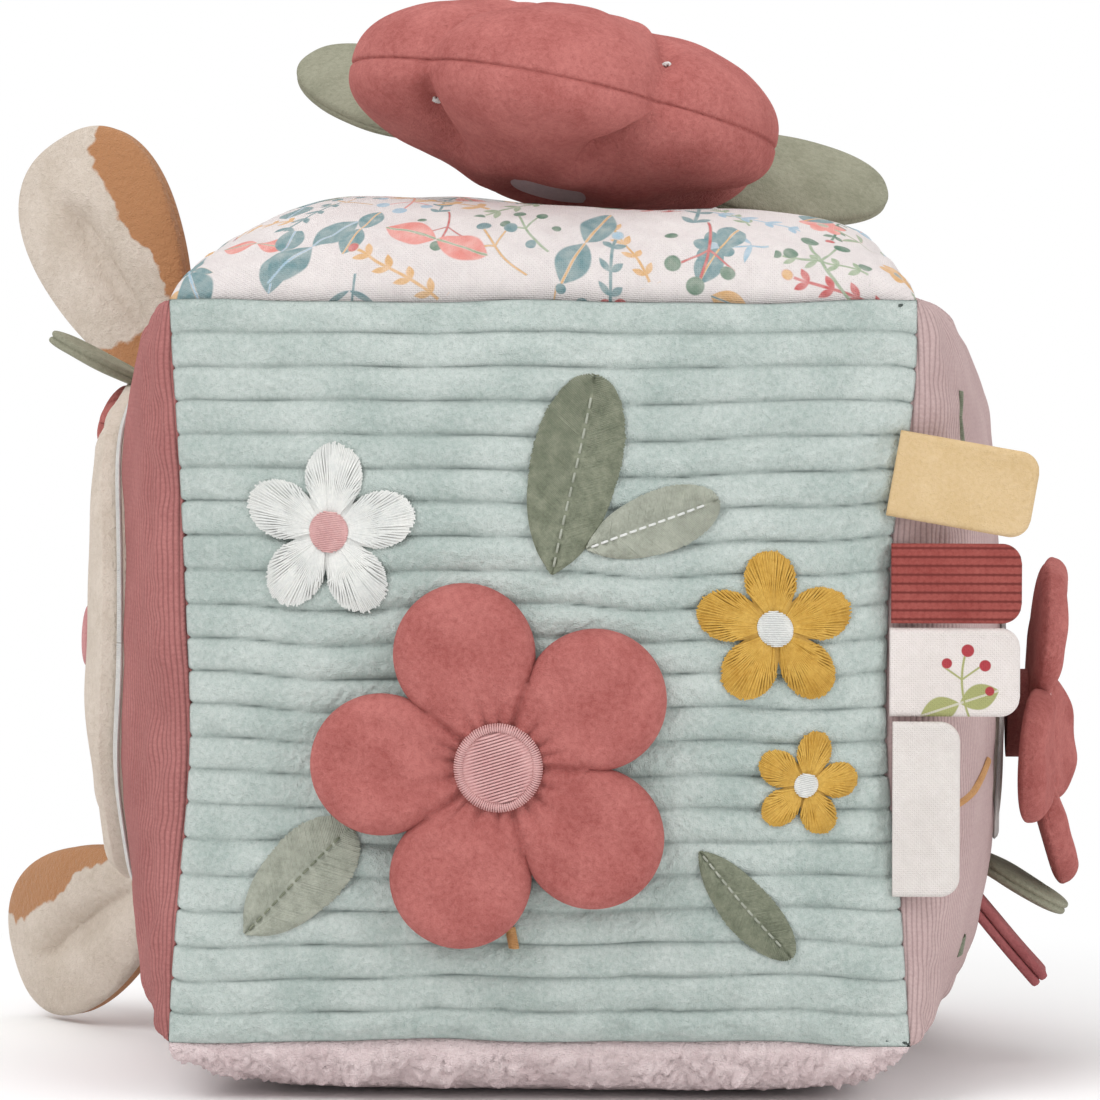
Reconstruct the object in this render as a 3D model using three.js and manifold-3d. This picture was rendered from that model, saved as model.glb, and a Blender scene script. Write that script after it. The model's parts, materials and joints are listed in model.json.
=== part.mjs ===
// Soft activity block: a stuffed fabric cube for a baby, with plush flowers, leaves, an animal head
// with loose ears, and flat tabs caught in one seam.
// Millimetres, +Z up. The block stands on z = 0 and its corduroy panel faces -Y.

import * as THREE from 'three';
import Module from 'manifold-3d';
import { mergeVertices } from 'three/addons/utils/BufferGeometryUtils.js';

const wasm = await Module();
wasm.setup();

// Block
const seamSide = 150; // cube edge from seam to seam
const uprightDraw = 5; // how far the stuffing pulls an upright seam in at its middle
const levelDraw = 2.5; // the same for a level seam
const frontCrown = 8;
const backCrown = 12;
const leftCrown = 16;
const rightCrown = 18;
const topCrown = 21;
const bottomCrown = 12.5;
const standCut = 0.5; // depth of the flat that the block stands on
const panelThickness = 3;
const clearance = 0.3; // gap between pieces that touch
const seamGap = 0.3; // between the cut edges of two panels
const fillingGap = 1.1; // between the filling and the panels
const waleCount = 22; // ribs of the front corduroy
const waleDepth = 1.8;
const waleSharpness = 4; // exponent that narrows the grooves between the ribs
const waleFade = 0.2; // exponent with which the grooves run out at the seams
const dentDepth = 7.7; // hollow that the stuffed flower presses into the top
const dentRadius = 54;
const dentSharpness = 4; // exponent that flattens the hollow's floor and steepens its sides
const dentPlaceShares = [0.19, -0.08];

// Embroidery on the front. Places are shares of half the panel's side, from its middle.
const stitchHeight = 0.9;
const stitchRim = 0.45;
const stitchNotchShare = 0.45; // how near a flower's notches come to its middle
const whiteFlower = { placeShares: [-0.555, 0.356], radius: 17.5, eye: 3.8, turn: 85 };
const largeMustard = { placeShares: [0.617, 0.1], radius: 16, eye: 3.4, turn: 92 };
const smallMustard = { placeShares: [0.7, -0.32], radius: 10.8, eye: 2.3, turn: 78 };
const largeDarkLeaf = { placeShares: [0.092, 0.515], length: 39.5, width: 17, turn: 78 };
const lightLeaf = { placeShares: [0.325, 0.364], length: 29, width: 12.5, turn: 21 };
const smallDarkLeaf = { placeShares: [0.541, -0.637], length: 28.6, width: 10, turn: -50.4 };
const lowLightLeaf = { placeShares: [-0.643, -0.573], length: 30.3, width: 16, turn: 43.5 };
const stem = { placeShares: [-0.075, -0.701], length: 4.4, width: 1.8, turn: 100 };

// Plush flowers with free petals
const hubRadius = 14.8;
const hubHeight = 3.4;
const petalRootGap = 0.35; // from the hub's edge to the petals' hinge lines
const lobeCentre = 23.1; // flower centre to the middle of a petal
const lobeRadius = 12.9;
const petalThickness = 5.6;
const petalRim = 2;
const discRadius = 8.2;
const discHeight = 1.2;
const discRim = 0.6;
// Lift is how far a flower stands off what it is sewn to, on a deeper hub.
const frontFlower = { placeShares: [-0.109, -0.237], turn: 107, lift: 0, flares: [0, 0, 0, 0, 0] };
const rightFlower = { placeShares: [0.053, -0.187], turn: 54, lift: 4, flares: [12, 10, 12, 20, 20] };

// Tabs in the seam between the front and right panels
const tabThickness = 2.4;
const tabCorner = 4;
const tabBevel = 0.5;
const tabGap = 0.9; // between one tab and the next
const tabTopShare = 0.64; // height of the first tab's upper corner over the middle of the block
const tabReach = 23.5; // of the two tabs that are level
// Stand is the distance from the seam to a tab's hinge line.
const yellowTab = { reach: 26, tall: 16.6, droop: 10, stand: 0.5 };
const redTab = { reach: tabReach, tall: 15.9, droop: 0, stand: 1.3 };
const whiteTab = { reach: tabReach, tall: 17.7, droop: 0, stand: 1.3 };
const plainTab = { reach: 11, tall: 35, droop: 0, stand: 1.3 };
const redRibs = 7;
const redRibDepth = 0.7;

// Right panel
const roundRadius = 25;
const roundHeight = 1.6;
const roundRim = 0.8;
const rightLeaf = { placeShares: [0.08, -0.61], length: 21, width: 24, thickness: 4.6, drop: 30 };
const strap = { placeShares: [-0.053, -0.72], length: 21, width: 14, thickness: 4, corner: 2.4, drop: 50 };

// Animal head on the left panel
const headPlaceShares = [-0.027, 0.053];
const headHalfWidth = 47;
const headHalfHeight = 54;
const headBaseMargin = 2.4;
const headBaseHeight = 1.2;
const headRim = 2.5;
const headHeight = 7;
// Places on the head are shares of its half width and half height, from its middle.
const crownPatch = { headShares: [-0.51, 0], halfWidth: 13, halfHeight: 15, height: 2.4, rim: 1.2 };
const nose = { headShares: [0.468, 0], halfWidth: 4.5, halfHeight: 6, height: 1.5, rim: 0.75 };
const earLength = 57;
const earWidth = 43;
const earLayer = 5.2; // thickness of the lining or of the back
const earRim = 1.6;
const earInset = 2.6; // how much smaller the lining is than the back
const earRootShare = 0.62; // width of an ear near its root
const upperEar = {
  placeShares: [-0.213, 0.8],
  stand: 3.1, // from the panel to the ear's root
  reach: [-0.42, 0.3, 0.86],
  facing: [-0.35, -0.93, 0.1],
};
const lowerEar = {
  placeShares: [-0.16, -0.72],
  stand: 2.3,
  reach: [-0.62, 0.69, -0.35],
  facing: [-0.75, -0.63, -0.09],
};
const bloom = { headShares: [0.128, 0.83], radius: 7, height: 2.8, rim: 1.4 };
const bloomNotchShare = 0.55;
const bloomLeaf = { headShares: [0.17, 0.99], length: 20, width: 17, thickness: 4, rise: 27 };

// Stuffed flower on the top
const puffPlaceShares = [0.027, -0.24];
const puffTilt = 11.6; // degrees, right side down
const puffPitch = -10; // degrees, front edge up
const puffRadius = 46.5;
const puffNotchShare = 0.86;
const puffHalfThickness = 19.4;
const puffRim = 0.8;
const puffTuft = 4; // how far the middle is drawn in
const tuftShare = 0.25; // how far that hollow reaches from the middle
const puffCrease = 3.4; // depth of the creases between petals
const puffDiscRadius = 10.5;
const tether = { width: 12, thickness: 1.8, tall: 4, back: 12 };
const topLeaf = { length: 43, width: 25, thickness: 6 };
const leftLeafReach = [-0.87, 0.5, 0.26];
const rightLeafReach = [1, 0.36, 0.15];
const topLeafFacing = [0, -0.8, 0.6];

const plushRim = 0.9; // half the edge of a plush leaf

// Shapes of outlines and swells, as exponents
const padFullness = 0.5;
const puffFullness = 0.5;
const lobeRoundness = 0.7;
const leafTaper = 1.3;
const earRoundness = 0.8;

// Points round the outlines
const smallPoints = 12;
const leafPoints = 16;
const discPoints = 16;
const earPoints = 18;
const hubPoints = 20;
const flowerPoints = 30;
const padPoints = 30;
const puffPoints = 40;

// Steps across a panel
const plainDivisions = 10;
const topDivisions = 14;

// How much of the outline each ring of a pad keeps
const thinRingShares = [1, 0.5];
const discRingShares = [1, 0.6];
const petalRingShares = [1, 0.8, 0.4];
const leafRingShares = [1, 0.75, 0.4];
const earRingShares = [1, 0.85, 0.5];
const baseRingShares = [1, 0.85, 0.67, 0.45, 0.22];
const headRingShares = [1, 0.96, 0.86, 0.7, 0.48, 0.24];
const puffRingShares = [1, 0.95, 0.85, 0.7, 0.52, 0.34, 0.16];

const degree = Math.PI / 180;
const half = seamSide / 2;
const blockHeight = half + bottomCrown - standCut; // middle of the seam cube above the ground
const petals = 5;
const upward = 90; // turn of a flower with one petal straight up
const petalAngle = 360 / petals;
const petalHinge = hubRadius + petalRootGap;
const headAcross = headPlaceShares[0] * half;
const headUp = headPlaceShares[1] * half;
const puffX = puffPlaceShares[0] * half;
const puffY = puffPlaceShares[1] * half;
const dentX = dentPlaceShares[0] * half;
const dentY = dentPlaceShares[1] * half;

const colours = {
  mint: 0xb6cdc6,
  print: 0xf0e8e4,
  dustyRose: 0xbe7376,
  palePink: 0xd7b4b4,
  teddyPink: 0xdebec0,
  cream: 0xe4dacd,
  fibre: 0xf4f2ec,
  coral: 0xc86964,
  disc: 0xe0b0b0,
  white: 0xebebe6,
  mustard: 0xdca53c,
  darkGreen: 0x69735a,
  lightGreen: 0xafb4a0,
  orange: 0xd2965a,
  yellow: 0xe8c47d,
  red: 0xa04646,
  sage: 0xa5b49b,
  brown: 0xb47d50,
  nosePink: 0xb98a80,
};

// Panels, each with its directions, how far its sides are drawn in and how high it swells. Breadth and fullness are the exponents
// that widen its middle and round its shoulders.
const faces = {
  front: {
    out: new THREE.Vector3(0, -1, 0),
    across: new THREE.Vector3(1, 0, 0),
    up: new THREE.Vector3(0, 0, 1),
    draw: uprightDraw,
    crown: frontCrown,
    breadth: 2,
    fullness: 0.5,
    rows: 3 * waleCount,
    groove: waleDepth,
  },
  back: {
    out: new THREE.Vector3(0, 1, 0),
    across: new THREE.Vector3(-1, 0, 0),
    up: new THREE.Vector3(0, 0, 1),
    draw: uprightDraw,
    crown: backCrown,
    breadth: 2,
    fullness: 0.5,
  },
  left: {
    out: new THREE.Vector3(-1, 0, 0),
    across: new THREE.Vector3(0, -1, 0),
    up: new THREE.Vector3(0, 0, 1),
    draw: uprightDraw,
    crown: leftCrown,
    breadth: 3,
    fullness: 0.45,
  },
  right: {
    out: new THREE.Vector3(1, 0, 0),
    across: new THREE.Vector3(0, 1, 0),
    up: new THREE.Vector3(0, 0, 1),
    draw: uprightDraw,
    crown: rightCrown,
    breadth: 2.6,
    fullness: 0.5,
  },
  top: {
    out: new THREE.Vector3(0, 0, 1),
    across: new THREE.Vector3(1, 0, 0),
    up: new THREE.Vector3(0, 1, 0),
    draw: levelDraw,
    crown: topCrown,
    breadth: 3,
    fullness: 0.5,
    dent: dentDepth,
    divisions: topDivisions,
  },
  bottom: {
    out: new THREE.Vector3(0, 0, -1),
    across: new THREE.Vector3(1, 0, 0),
    up: new THREE.Vector3(0, -1, 0),
    draw: levelDraw,
    crown: bottomCrown,
    breadth: 6,
    fullness: 0.5,
    reach: blockHeight,
  },
};

const block = new THREE.Group();

// Adds one sub-part to a group, under its own name and with its own material.
function addPiece(parent, name, geometry, colour, roughness = 0.9) {
  const material = new THREE.MeshStandardMaterial({ color: colour, roughness, metalness: 0 });
  const mesh = new THREE.Mesh(geometry, material);
  mesh.name = name;
  parent.add(mesh);
}

// Makes a geometry from points and triangles.
function geometryOf(points, triangles) {
  const geometry = new THREE.BufferGeometry();
  const values = points.flatMap((point) => point.toArray());
  geometry.setAttribute('position', new THREE.Float32BufferAttribute(values, 3));
  geometry.setIndex(triangles);
  geometry.computeVertexNormals();
  return geometry;
}

// Point of a panel's outer skin, for u and v from -1 to 1 between its seams.
function skinPoint(face, u, v) {
  const openU = 1 - u * u;
  const openV = 1 - v * v;
  const across = u * (half - face.draw * openV);
  const up = v * (half - levelDraw * openU);
  const nearU = Math.abs(u) ** face.breadth;
  const nearV = Math.abs(v) ** face.breadth;
  const seamFall = face.draw * nearU * openV + levelDraw * nearV * openU;
  const swollen = (1 - nearU) * (1 - nearV);
  let out = half - seamFall + face.crown * swollen ** face.fullness;
  if (face.dent) {
    const away = Math.hypot(across - dentX, up - dentY) / dentRadius;
    out -= face.dent * Math.exp(-(away ** dentSharpness)) * openU * openV;
  }
  if (face.reach) out = Math.min(out, face.reach);
  return new THREE.Vector3(0, 0, blockHeight)
    .addScaledVector(face.across, across)
    .addScaledVector(face.up, up)
    .addScaledVector(face.out, out);
}

// Point of a panel's outer skin at a place given in millimetres from the panel's middle.
function skinAt(face, across, up) {
  let u = across / half;
  let v = up / half;
  for (let step = 0; step < 8; step++) {
    u = across / (half - face.draw * (1 - v * v));
    v = up / (half - levelDraw * (1 - u * u));
  }
  return skinPoint(face, u, v);
}

// Moves a point of the block towards the block's middle by a share of its distance.
function towardsMiddle(point, share) {
  const middle = new THREE.Vector3(0, 0, blockHeight);
  return middle.lerp(point, share);
}

// Closed shell between two grids of points, the first one outside.
function shellGeometry(outer, inner) {
  const rows = outer.length;
  const columns = outer[0].length;
  const under = rows * columns;
  const at = (row, column) => row * columns + column;
  const triangles = [];
  for (let row = 0; row < rows - 1; row++) {
    for (let column = 0; column < columns - 1; column++) {
      const a = at(row, column);
      const b = at(row, column + 1);
      const c = at(row + 1, column + 1);
      const d = at(row + 1, column);
      triangles.push(a, b, c, a, c, d);
      triangles.push(under + a, under + c, under + b, under + a, under + d, under + c);
    }
  }
  const rim = [];
  for (let column = 0; column < columns - 1; column++) rim.push(at(0, column));
  for (let row = 0; row < rows - 1; row++) rim.push(at(row, columns - 1));
  for (let column = columns - 1; column > 0; column--) rim.push(at(rows - 1, column));
  for (let row = rows - 1; row > 0; row--) rim.push(at(row, 0));
  rim.forEach((a, place) => {
    const b = rim[(place + 1) % rim.length];
    triangles.push(b, a, under + a, b, under + a, under + b);
  });
  return geometryOf([...outer.flat(), ...inner.flat()], triangles);
}

// Places from -1 to 1, closer together near the ends.
function spread(divisions) {
  return Array.from({ length: divisions + 1 }, (_, i) => Math.sin((i / divisions - 0.5) * Math.PI));
}

// Places from -1 to 1 at even steps.
function even(divisions) {
  return Array.from({ length: divisions + 1 }, (_, i) => (2 * i) / divisions - 1);
}

// One sewn panel, with grooves between its ribs where it has them.
function panelGeometry(face) {
  const edgeShare = 1 - seamGap / seamSide;
  const insideShare = 1 - panelThickness / half;
  const divisions = face.divisions ?? plainDivisions;
  const acrossPlaces = spread(divisions);
  const upPlaces = face.rows ? even(face.rows) : spread(divisions);
  const rowAt = (v) => acrossPlaces.map((u) => skinPoint(face, u * edgeShare, v * edgeShare));
  const smooth = upPlaces.map(rowAt);
  const outer = smooth.map((row, index) => {
    if (!face.groove) return row;
    const phase = ((upPlaces[index] + 1) / 2) * waleCount;
    const depth = face.groove * Math.cos(Math.PI * phase) ** waleSharpness;
    return row.map((point, column) => {
      const open = (1 - acrossPlaces[column] ** 2) * (1 - upPlaces[index] ** 2);
      return point.clone().addScaledVector(face.out, -depth * open ** waleFade);
    });
  });
  const inner = smooth.map((row) => row.map((point) => towardsMiddle(point, insideShare)));
  return shellGeometry(outer, inner);
}

// Fibre filling: the block's whole surface, drawn in to leave room for the panels.
function fillingGeometry() {
  const share = 1 - (panelThickness + fillingGap) / half;
  const places = spread(plainDivisions);
  const points = [];
  const triangles = [];
  for (const face of Object.values(faces)) {
    const start = points.length;
    for (const v of places) {
      for (const u of places) points.push(towardsMiddle(skinPoint(face, u, v), share));
    }
    for (let row = 0; row < places.length - 1; row++) {
      for (let column = 0; column < places.length - 1; column++) {
        const a = start + row * places.length + column;
        const d = a + places.length;
        triangles.push(a, a + 1, d + 1, a, d + 1, d);
      }
    }
  }
  return geometryOf(points, triangles);
}

// Sewn pad: its outline shrinks ring by ring to a middle point, and the heights of its upper and
// lower faces follow the share of the outline that each ring keeps.
function padGeometry(outline, rings, place, upper, lower) {
  const count = outline.length;
  const points = [];
  for (const height of [upper, lower]) {
    for (const share of rings) {
      outline.forEach(([x, y], index) => points.push(place(x * share, y * share, height(share, index))));
    }
    points.push(place(0, 0, height(0, 0)));
  }
  const side = rings.length * count + 1;
  const triangles = [];
  for (let index = 0; index < count; index++) {
    const next = (index + 1) % count;
    for (let ring = 0; ring < rings.length - 1; ring++) {
      const a = ring * count + index;
      const b = ring * count + next;
      const c = b + count;
      const d = a + count;
      triangles.push(a, b, c, a, c, d, side + a, side + c, side + b, side + a, side + d, side + c);
    }
    const last = (rings.length - 1) * count;
    const middle = rings.length * count;
    triangles.push(last + index, last + next, middle);
    triangles.push(side + last + next, side + last + index, side + middle);
    triangles.push(next, index, side + index, next, side + index, side + next);
  }
  return geometryOf(points, triangles);
}

// Round-shouldered height of a pad's face, from its rim to its middle.
function swell(rim, height, fullness = padFullness) {
  return (share) => rim + (height - rim) * (1 - share * share) ** fullness;
}

// Height of a pad's lower face where it lies flat.
function flush() {
  return 0;
}

// Outline of an ellipse.
function ovalOutline(halfWidth, halfHeight, count) {
  return Array.from({ length: count }, (_, i) => {
    const angle = (i / count) * 2 * Math.PI;
    return [halfWidth * Math.cos(angle), halfHeight * Math.sin(angle)];
  });
}

// Outline of a flower with round petals and sharp notches.
function flowerOutline(radius, notchShare, count, turn = 0) {
  return Array.from({ length: count }, (_, i) => {
    const angle = (i / count) * 2 * Math.PI;
    const lobe = Math.abs(Math.cos((petals / 2) * (angle - turn * degree))) ** lobeRoundness;
    const reach = radius * (notchShare + (1 - notchShare) * lobe);
    return [reach * Math.cos(angle), reach * Math.sin(angle)];
  });
}

// Outline of a leaf about its middle, pointed at both ends.
function leafOutline(length, width, count) {
  return Array.from({ length: count }, (_, i) => {
    const angle = (i / count) * 2 * Math.PI;
    const bow = Math.sign(Math.sin(angle)) * Math.abs(Math.sin(angle)) ** leafTaper;
    return [(length / 2) * Math.cos(angle), (width / 2) * bow];
  });
}

// Places a flat pattern on a panel's skin, turned about its own middle.
function onFace(face, across, up, turn = 0, lift = () => clearance) {
  const cos = Math.cos(turn * degree);
  const sin = Math.sin(turn * degree);
  return (x, y, height) => {
    const a = across + x * cos - y * sin;
    const b = up + x * sin + y * cos;
    return skinAt(face, a, b).addScaledVector(face.out, height + lift(a, b));
  };
}

// Places a flat pattern in its own group, moved along X and Z.
function flat(along = 0, lift = 0) {
  return (x, y, height) => new THREE.Vector3(x + along, y, height + lift);
}

// Group that stands at an origin with X along reach and Z towards facing. A hinged piece is drawn
// in such a group from its hinge line, which is the group's Y axis.
function standGroup(parent, origin, reach, facing) {
  const x = reach.clone().normalize();
  const y = facing.clone().cross(x).normalize();
  const z = x.clone().cross(y);
  const group = new THREE.Group();
  group.position.copy(origin);
  group.quaternion.setFromRotationMatrix(new THREE.Matrix4().makeBasis(x, y, z));
  parent.add(group);
  return group;
}

// Six panels round the filling
function buildBlock() {
  addPiece(block, 'stuffing_core', fillingGeometry(), colours.fibre);
  addPiece(block, 'panel_front', panelGeometry(faces.front), colours.mint);
  addPiece(block, 'panel_back', panelGeometry(faces.back), colours.cream);
  addPiece(block, 'panel_left', panelGeometry(faces.left), colours.dustyRose);
  addPiece(block, 'panel_right', panelGeometry(faces.right), colours.palePink);
  addPiece(block, 'panel_top', panelGeometry(faces.top), colours.print, 0.8);
  addPiece(block, 'panel_bottom', panelGeometry(faces.bottom), colours.teddyPink, 1);
}

// Satin-stitched shape on the front panel
function addStitching(name, outline, spot, colour, layer = 0) {
  const lift = () => clearance + layer * (stitchHeight + clearance);
  const place = onFace(faces.front, ...spot.placeShares.map((share) => share * half), spot.turn, lift);
  const upper = swell(stitchRim, stitchHeight);
  addPiece(block, name, padGeometry(outline, thinRingShares, place, upper, flush), colour, 0.6);
}

// Flowers, leaves and a stem end embroidered on the front
function buildEmbroidery() {
  const flowers = [
    ['white_flower', whiteFlower, colours.white, colours.disc],
    ['mustard_flower_large', largeMustard, colours.mustard, colours.white],
    ['mustard_flower_small', smallMustard, colours.mustard, colours.white],
  ];
  for (const [name, flower, colour, eyeColour] of flowers) {
    addStitching(name, flowerOutline(flower.radius, stitchNotchShare, flowerPoints), flower, colour);
    addStitching(`${name}_eye`, ovalOutline(flower.eye, flower.eye, smallPoints), flower, eyeColour, 1);
  }
  const leaves = [
    ['leaf_dark_large', largeDarkLeaf, colours.darkGreen],
    ['leaf_light', lightLeaf, colours.lightGreen],
    ['leaf_dark_small', smallDarkLeaf, colours.darkGreen],
    ['leaf_light_low', lowLightLeaf, colours.lightGreen],
  ];
  for (const [name, leaf, colour] of leaves) {
    addStitching(name, leafOutline(leaf.length, leaf.width, leafPoints), leaf, colour);
  }
  const stemOutline = ovalOutline(stem.length / 2, stem.width / 2, smallPoints);
  addStitching('stem_orange', stemOutline, stem, colours.orange);
}

// Outline of one petal about the middle of its lobe, cut off straight at its hinge line.
function petalOutline() {
  const cut = Math.acos((petalHinge + clearance - lobeCentre) / lobeRadius);
  const steps = 15;
  return Array.from({ length: steps + 1 }, (_, i) => {
    const angle = -cut + (2 * cut * i) / steps;
    return [lobeRadius * Math.cos(angle), lobeRadius * Math.sin(angle)];
  });
}

// Plush flower sewn down at its middle. Each petal hangs at the edge of the hub, lifted by its flare.
function addPlushFlower(prefix, centre, face, flower) {
  const reach = face.across.clone().multiplyScalar(Math.cos(flower.turn * degree));
  reach.addScaledVector(face.up, Math.sin(flower.turn * degree));
  const group = standGroup(block, centre, reach, face.out);
  const hubOutline = ovalOutline(hubRadius, hubRadius, hubPoints);
  const hubFoot = () => -flower.lift;
  const hub = padGeometry(hubOutline, petalRingShares, flat(), swell(petalRim, hubHeight), hubFoot);
  addPiece(group, `${prefix}_hub`, hub, colours.coral, 1);
  const discOutline = ovalOutline(discRadius, discRadius, discPoints);
  const onHub = flat(0, hubHeight + clearance);
  const disc = padGeometry(discOutline, discRingShares, onHub, swell(discRim, discHeight), flush);
  addPiece(group, `${prefix}_disc`, disc, colours.disc, 0.7);
  flower.flares.forEach((flare, index) => {
    const sector = new THREE.Group();
    sector.rotation.z = index * petalAngle * degree;
    group.add(sector);
    const hinge = new THREE.Group();
    hinge.position.set(petalHinge, 0, petalRim);
    hinge.rotation.y = -flare * degree;
    sector.add(hinge);
    const fromHinge = flat(lobeCentre - petalHinge, -petalRim);
    const petalTop = swell(petalRim, petalThickness);
    const petal = padGeometry(petalOutline(), petalRingShares, fromHinge, petalTop, flush);
    addPiece(hinge, `${prefix}_petal_${index + 1}`, petal, colours.coral, 1);
  });
}

function buildFrontFlower() {
  const face = faces.front;
  const middle = new THREE.Vector3(0, 0, blockHeight);
  middle.addScaledVector(face.out, half + frontCrown + clearance + frontFlower.lift);
  middle.addScaledVector(face.across, frontFlower.placeShares[0] * half);
  middle.addScaledVector(face.up, frontFlower.placeShares[1] * half);
  addPlushFlower('front_flower', middle, face, frontFlower);
}

// Flat tab with two round outer corners, from its hinge line outwards.
function tabGeometry(tab) {
  const inset = tabBevel;
  const low = -tab.tall / 2 + inset;
  const high = tab.tall / 2 - inset;
  const near = inset;
  const far = tab.reach - inset;
  const corner = tabCorner - inset;
  const shape = new THREE.Shape();
  shape.moveTo(near, low);
  shape.lineTo(far - corner, low);
  shape.absarc(far - corner, low + corner, corner, -Math.PI / 2, 0, false);
  shape.lineTo(far, high - corner);
  shape.absarc(far - corner, high - corner, corner, 0, Math.PI / 2, false);
  shape.lineTo(near, high);
  shape.closePath();
  const geometry = new THREE.ExtrudeGeometry(shape, {
    depth: tabThickness - 2 * tabBevel,
    bevelThickness: tabBevel,
    bevelSize: tabBevel,
    bevelSegments: 1,
    curveSegments: 5,
  });
  return geometry.translate(0, 0, tabBevel - tabThickness / 2);
}

// Solid of a closed geometry, for joining and cutting.
function solidOf(geometry) {
  const bare = geometry.clone();
  bare.deleteAttribute('normal');
  bare.deleteAttribute('uv');
  const merged = mergeVertices(bare);
  const vertProperties = new Float32Array(merged.attributes.position.array);
  const triVerts = new Uint32Array(merged.index.array);
  return new wasm.Manifold(new wasm.Mesh({ numProp: 3, vertProperties, triVerts }));
}

// Geometry of a solid.
function geometryFromSolid(solid) {
  const mesh = solid.getMesh();
  const geometry = new THREE.BufferGeometry();
  geometry.setAttribute('position', new THREE.Float32BufferAttribute(mesh.vertProperties, 3));
  geometry.setIndex([...mesh.triVerts]);
  geometry.computeVertexNormals();
  return geometry;
}

// Tab of ribbed ribbon: the flat tab keeps only what lies within a ribbed bar.
function ribbedTabGeometry(tab) {
  const ribStep = tab.tall / redRibs;
  const crest = tabThickness / 2;
  const valley = crest - redRibDepth;
  const profile = new THREE.Shape();
  profile.moveTo(-valley, -tab.tall / 2);
  for (let rib = 0; rib < redRibs; rib++) {
    const base = -tab.tall / 2 + rib * ribStep;
    profile.lineTo(valley, base);
    profile.lineTo(crest, base + ribStep / 3);
    profile.lineTo(crest, base + (2 * ribStep) / 3);
  }
  profile.lineTo(valley, tab.tall / 2);
  for (let rib = redRibs - 1; rib >= 0; rib--) {
    const base = -tab.tall / 2 + rib * ribStep;
    profile.lineTo(-valley, base + ribStep);
    profile.lineTo(-crest, base + (2 * ribStep) / 3);
    profile.lineTo(-crest, base + ribStep / 3);
  }
  profile.closePath();
  const bar = new THREE.ExtrudeGeometry(profile, { depth: tab.reach + tabCorner, bevelEnabled: false });
  bar.applyMatrix4(new THREE.Matrix4().makeBasis(
    new THREE.Vector3(0, 0, 1),
    new THREE.Vector3(0, 1, 0),
    new THREE.Vector3(-1, 0, 0),
  ));
  bar.translate(tab.reach + tabCorner / 2, 0, 0);
  return geometryFromSolid(solidOf(tabGeometry(tab)).intersect(solidOf(bar)));
}

// Distance of an upright seam from the block's middle planes, at a height over the block's middle.
function uprightSeam(height) {
  return half - uprightDraw * (1 - (height / half) ** 2);
}

// Tabs one below the other, each hinged where it enters the seam
function buildTabs() {
  const tabs = [
    ['tab_yellow', yellowTab, colours.yellow, tabGeometry],
    ['tab_red', redTab, colours.red, ribbedTabGeometry],
    ['tab_white', whiteTab, colours.white, tabGeometry],
    ['tab_plain', plainTab, colours.white, tabGeometry],
  ];
  let top = blockHeight + tabTopShare * half;
  for (const [name, tab, colour, shape] of tabs) {
    const fall = tab.reach * Math.sin(tab.droop * degree);
    const middle = top - tab.tall / 2;
    const fromMiddle = middle - blockHeight;
    const farEnd = Math.abs(fromMiddle) + tab.tall / 2;
    const depth = uprightSeam(farEnd) + tabThickness / 2 + clearance;
    const origin = new THREE.Vector3(uprightSeam(fromMiddle) + tab.stand, -depth, middle);
    const reach = new THREE.Vector3(Math.cos(tab.droop * degree), 0, -Math.sin(tab.droop * degree));
    addPiece(standGroup(block, origin, reach, faces.front.out), name, shape(tab), colour);
    top -= tab.tall + tabGap + fall;
  }
}

// Plush leaf, from its hinge line outwards.
function hingedLeafGeometry(leaf) {
  const upper = swell(plushRim, leaf.thickness / 2);
  const lower = (share) => -upper(share);
  const outline = leafOutline(leaf.length, leaf.width, leafPoints);
  return padGeometry(outline, leafRingShares, flat(leaf.length / 2), upper, lower);
}

// Group at the root of a flap that stands out from a panel, leaning up by an angle.
function flapGroup(root, out, lean) {
  const cos = Math.cos(lean * degree);
  const sin = Math.sin(lean * degree);
  const reach = out.clone().multiplyScalar(cos).setZ(sin);
  const facing = out.clone().multiplyScalar(-sin).setZ(cos);
  return standGroup(block, root, reach, facing);
}

// Round backing, flower, leaf and strap on the right panel
function buildRightSide() {
  const face = faces.right;
  const flowerPlace = rightFlower.placeShares.map((share) => share * half);
  const roundOutline = ovalOutline(roundRadius, roundRadius, padPoints);
  const onPanel = onFace(face, ...flowerPlace);
  const round = padGeometry(roundOutline, discRingShares, onPanel, swell(roundRim, roundHeight), flush);
  addPiece(block, 'right_round', round, colours.cream);
  const centre = skinAt(face, ...flowerPlace);
  centre.addScaledVector(face.out, roundHeight + 3 * clearance + rightFlower.lift);
  addPlushFlower('right_flower', centre, face, rightFlower);

  const flaps = [
    ['right_leaf', rightLeaf, plushRim, hingedLeafGeometry(rightLeaf), colours.sage],
    ['right_strap', strap, strap.thickness / 2, strapGeometry(), colours.dustyRose],
  ];
  for (const [name, flap, edge, geometry, colour] of flaps) {
    const root = skinAt(face, ...flap.placeShares.map((share) => share * half));
    root.addScaledVector(face.out, edge * Math.sin(flap.drop * degree));
    addPiece(flapGroup(root, face.out, -flap.drop), name, geometry, colour, 1);
  }
}

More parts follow.
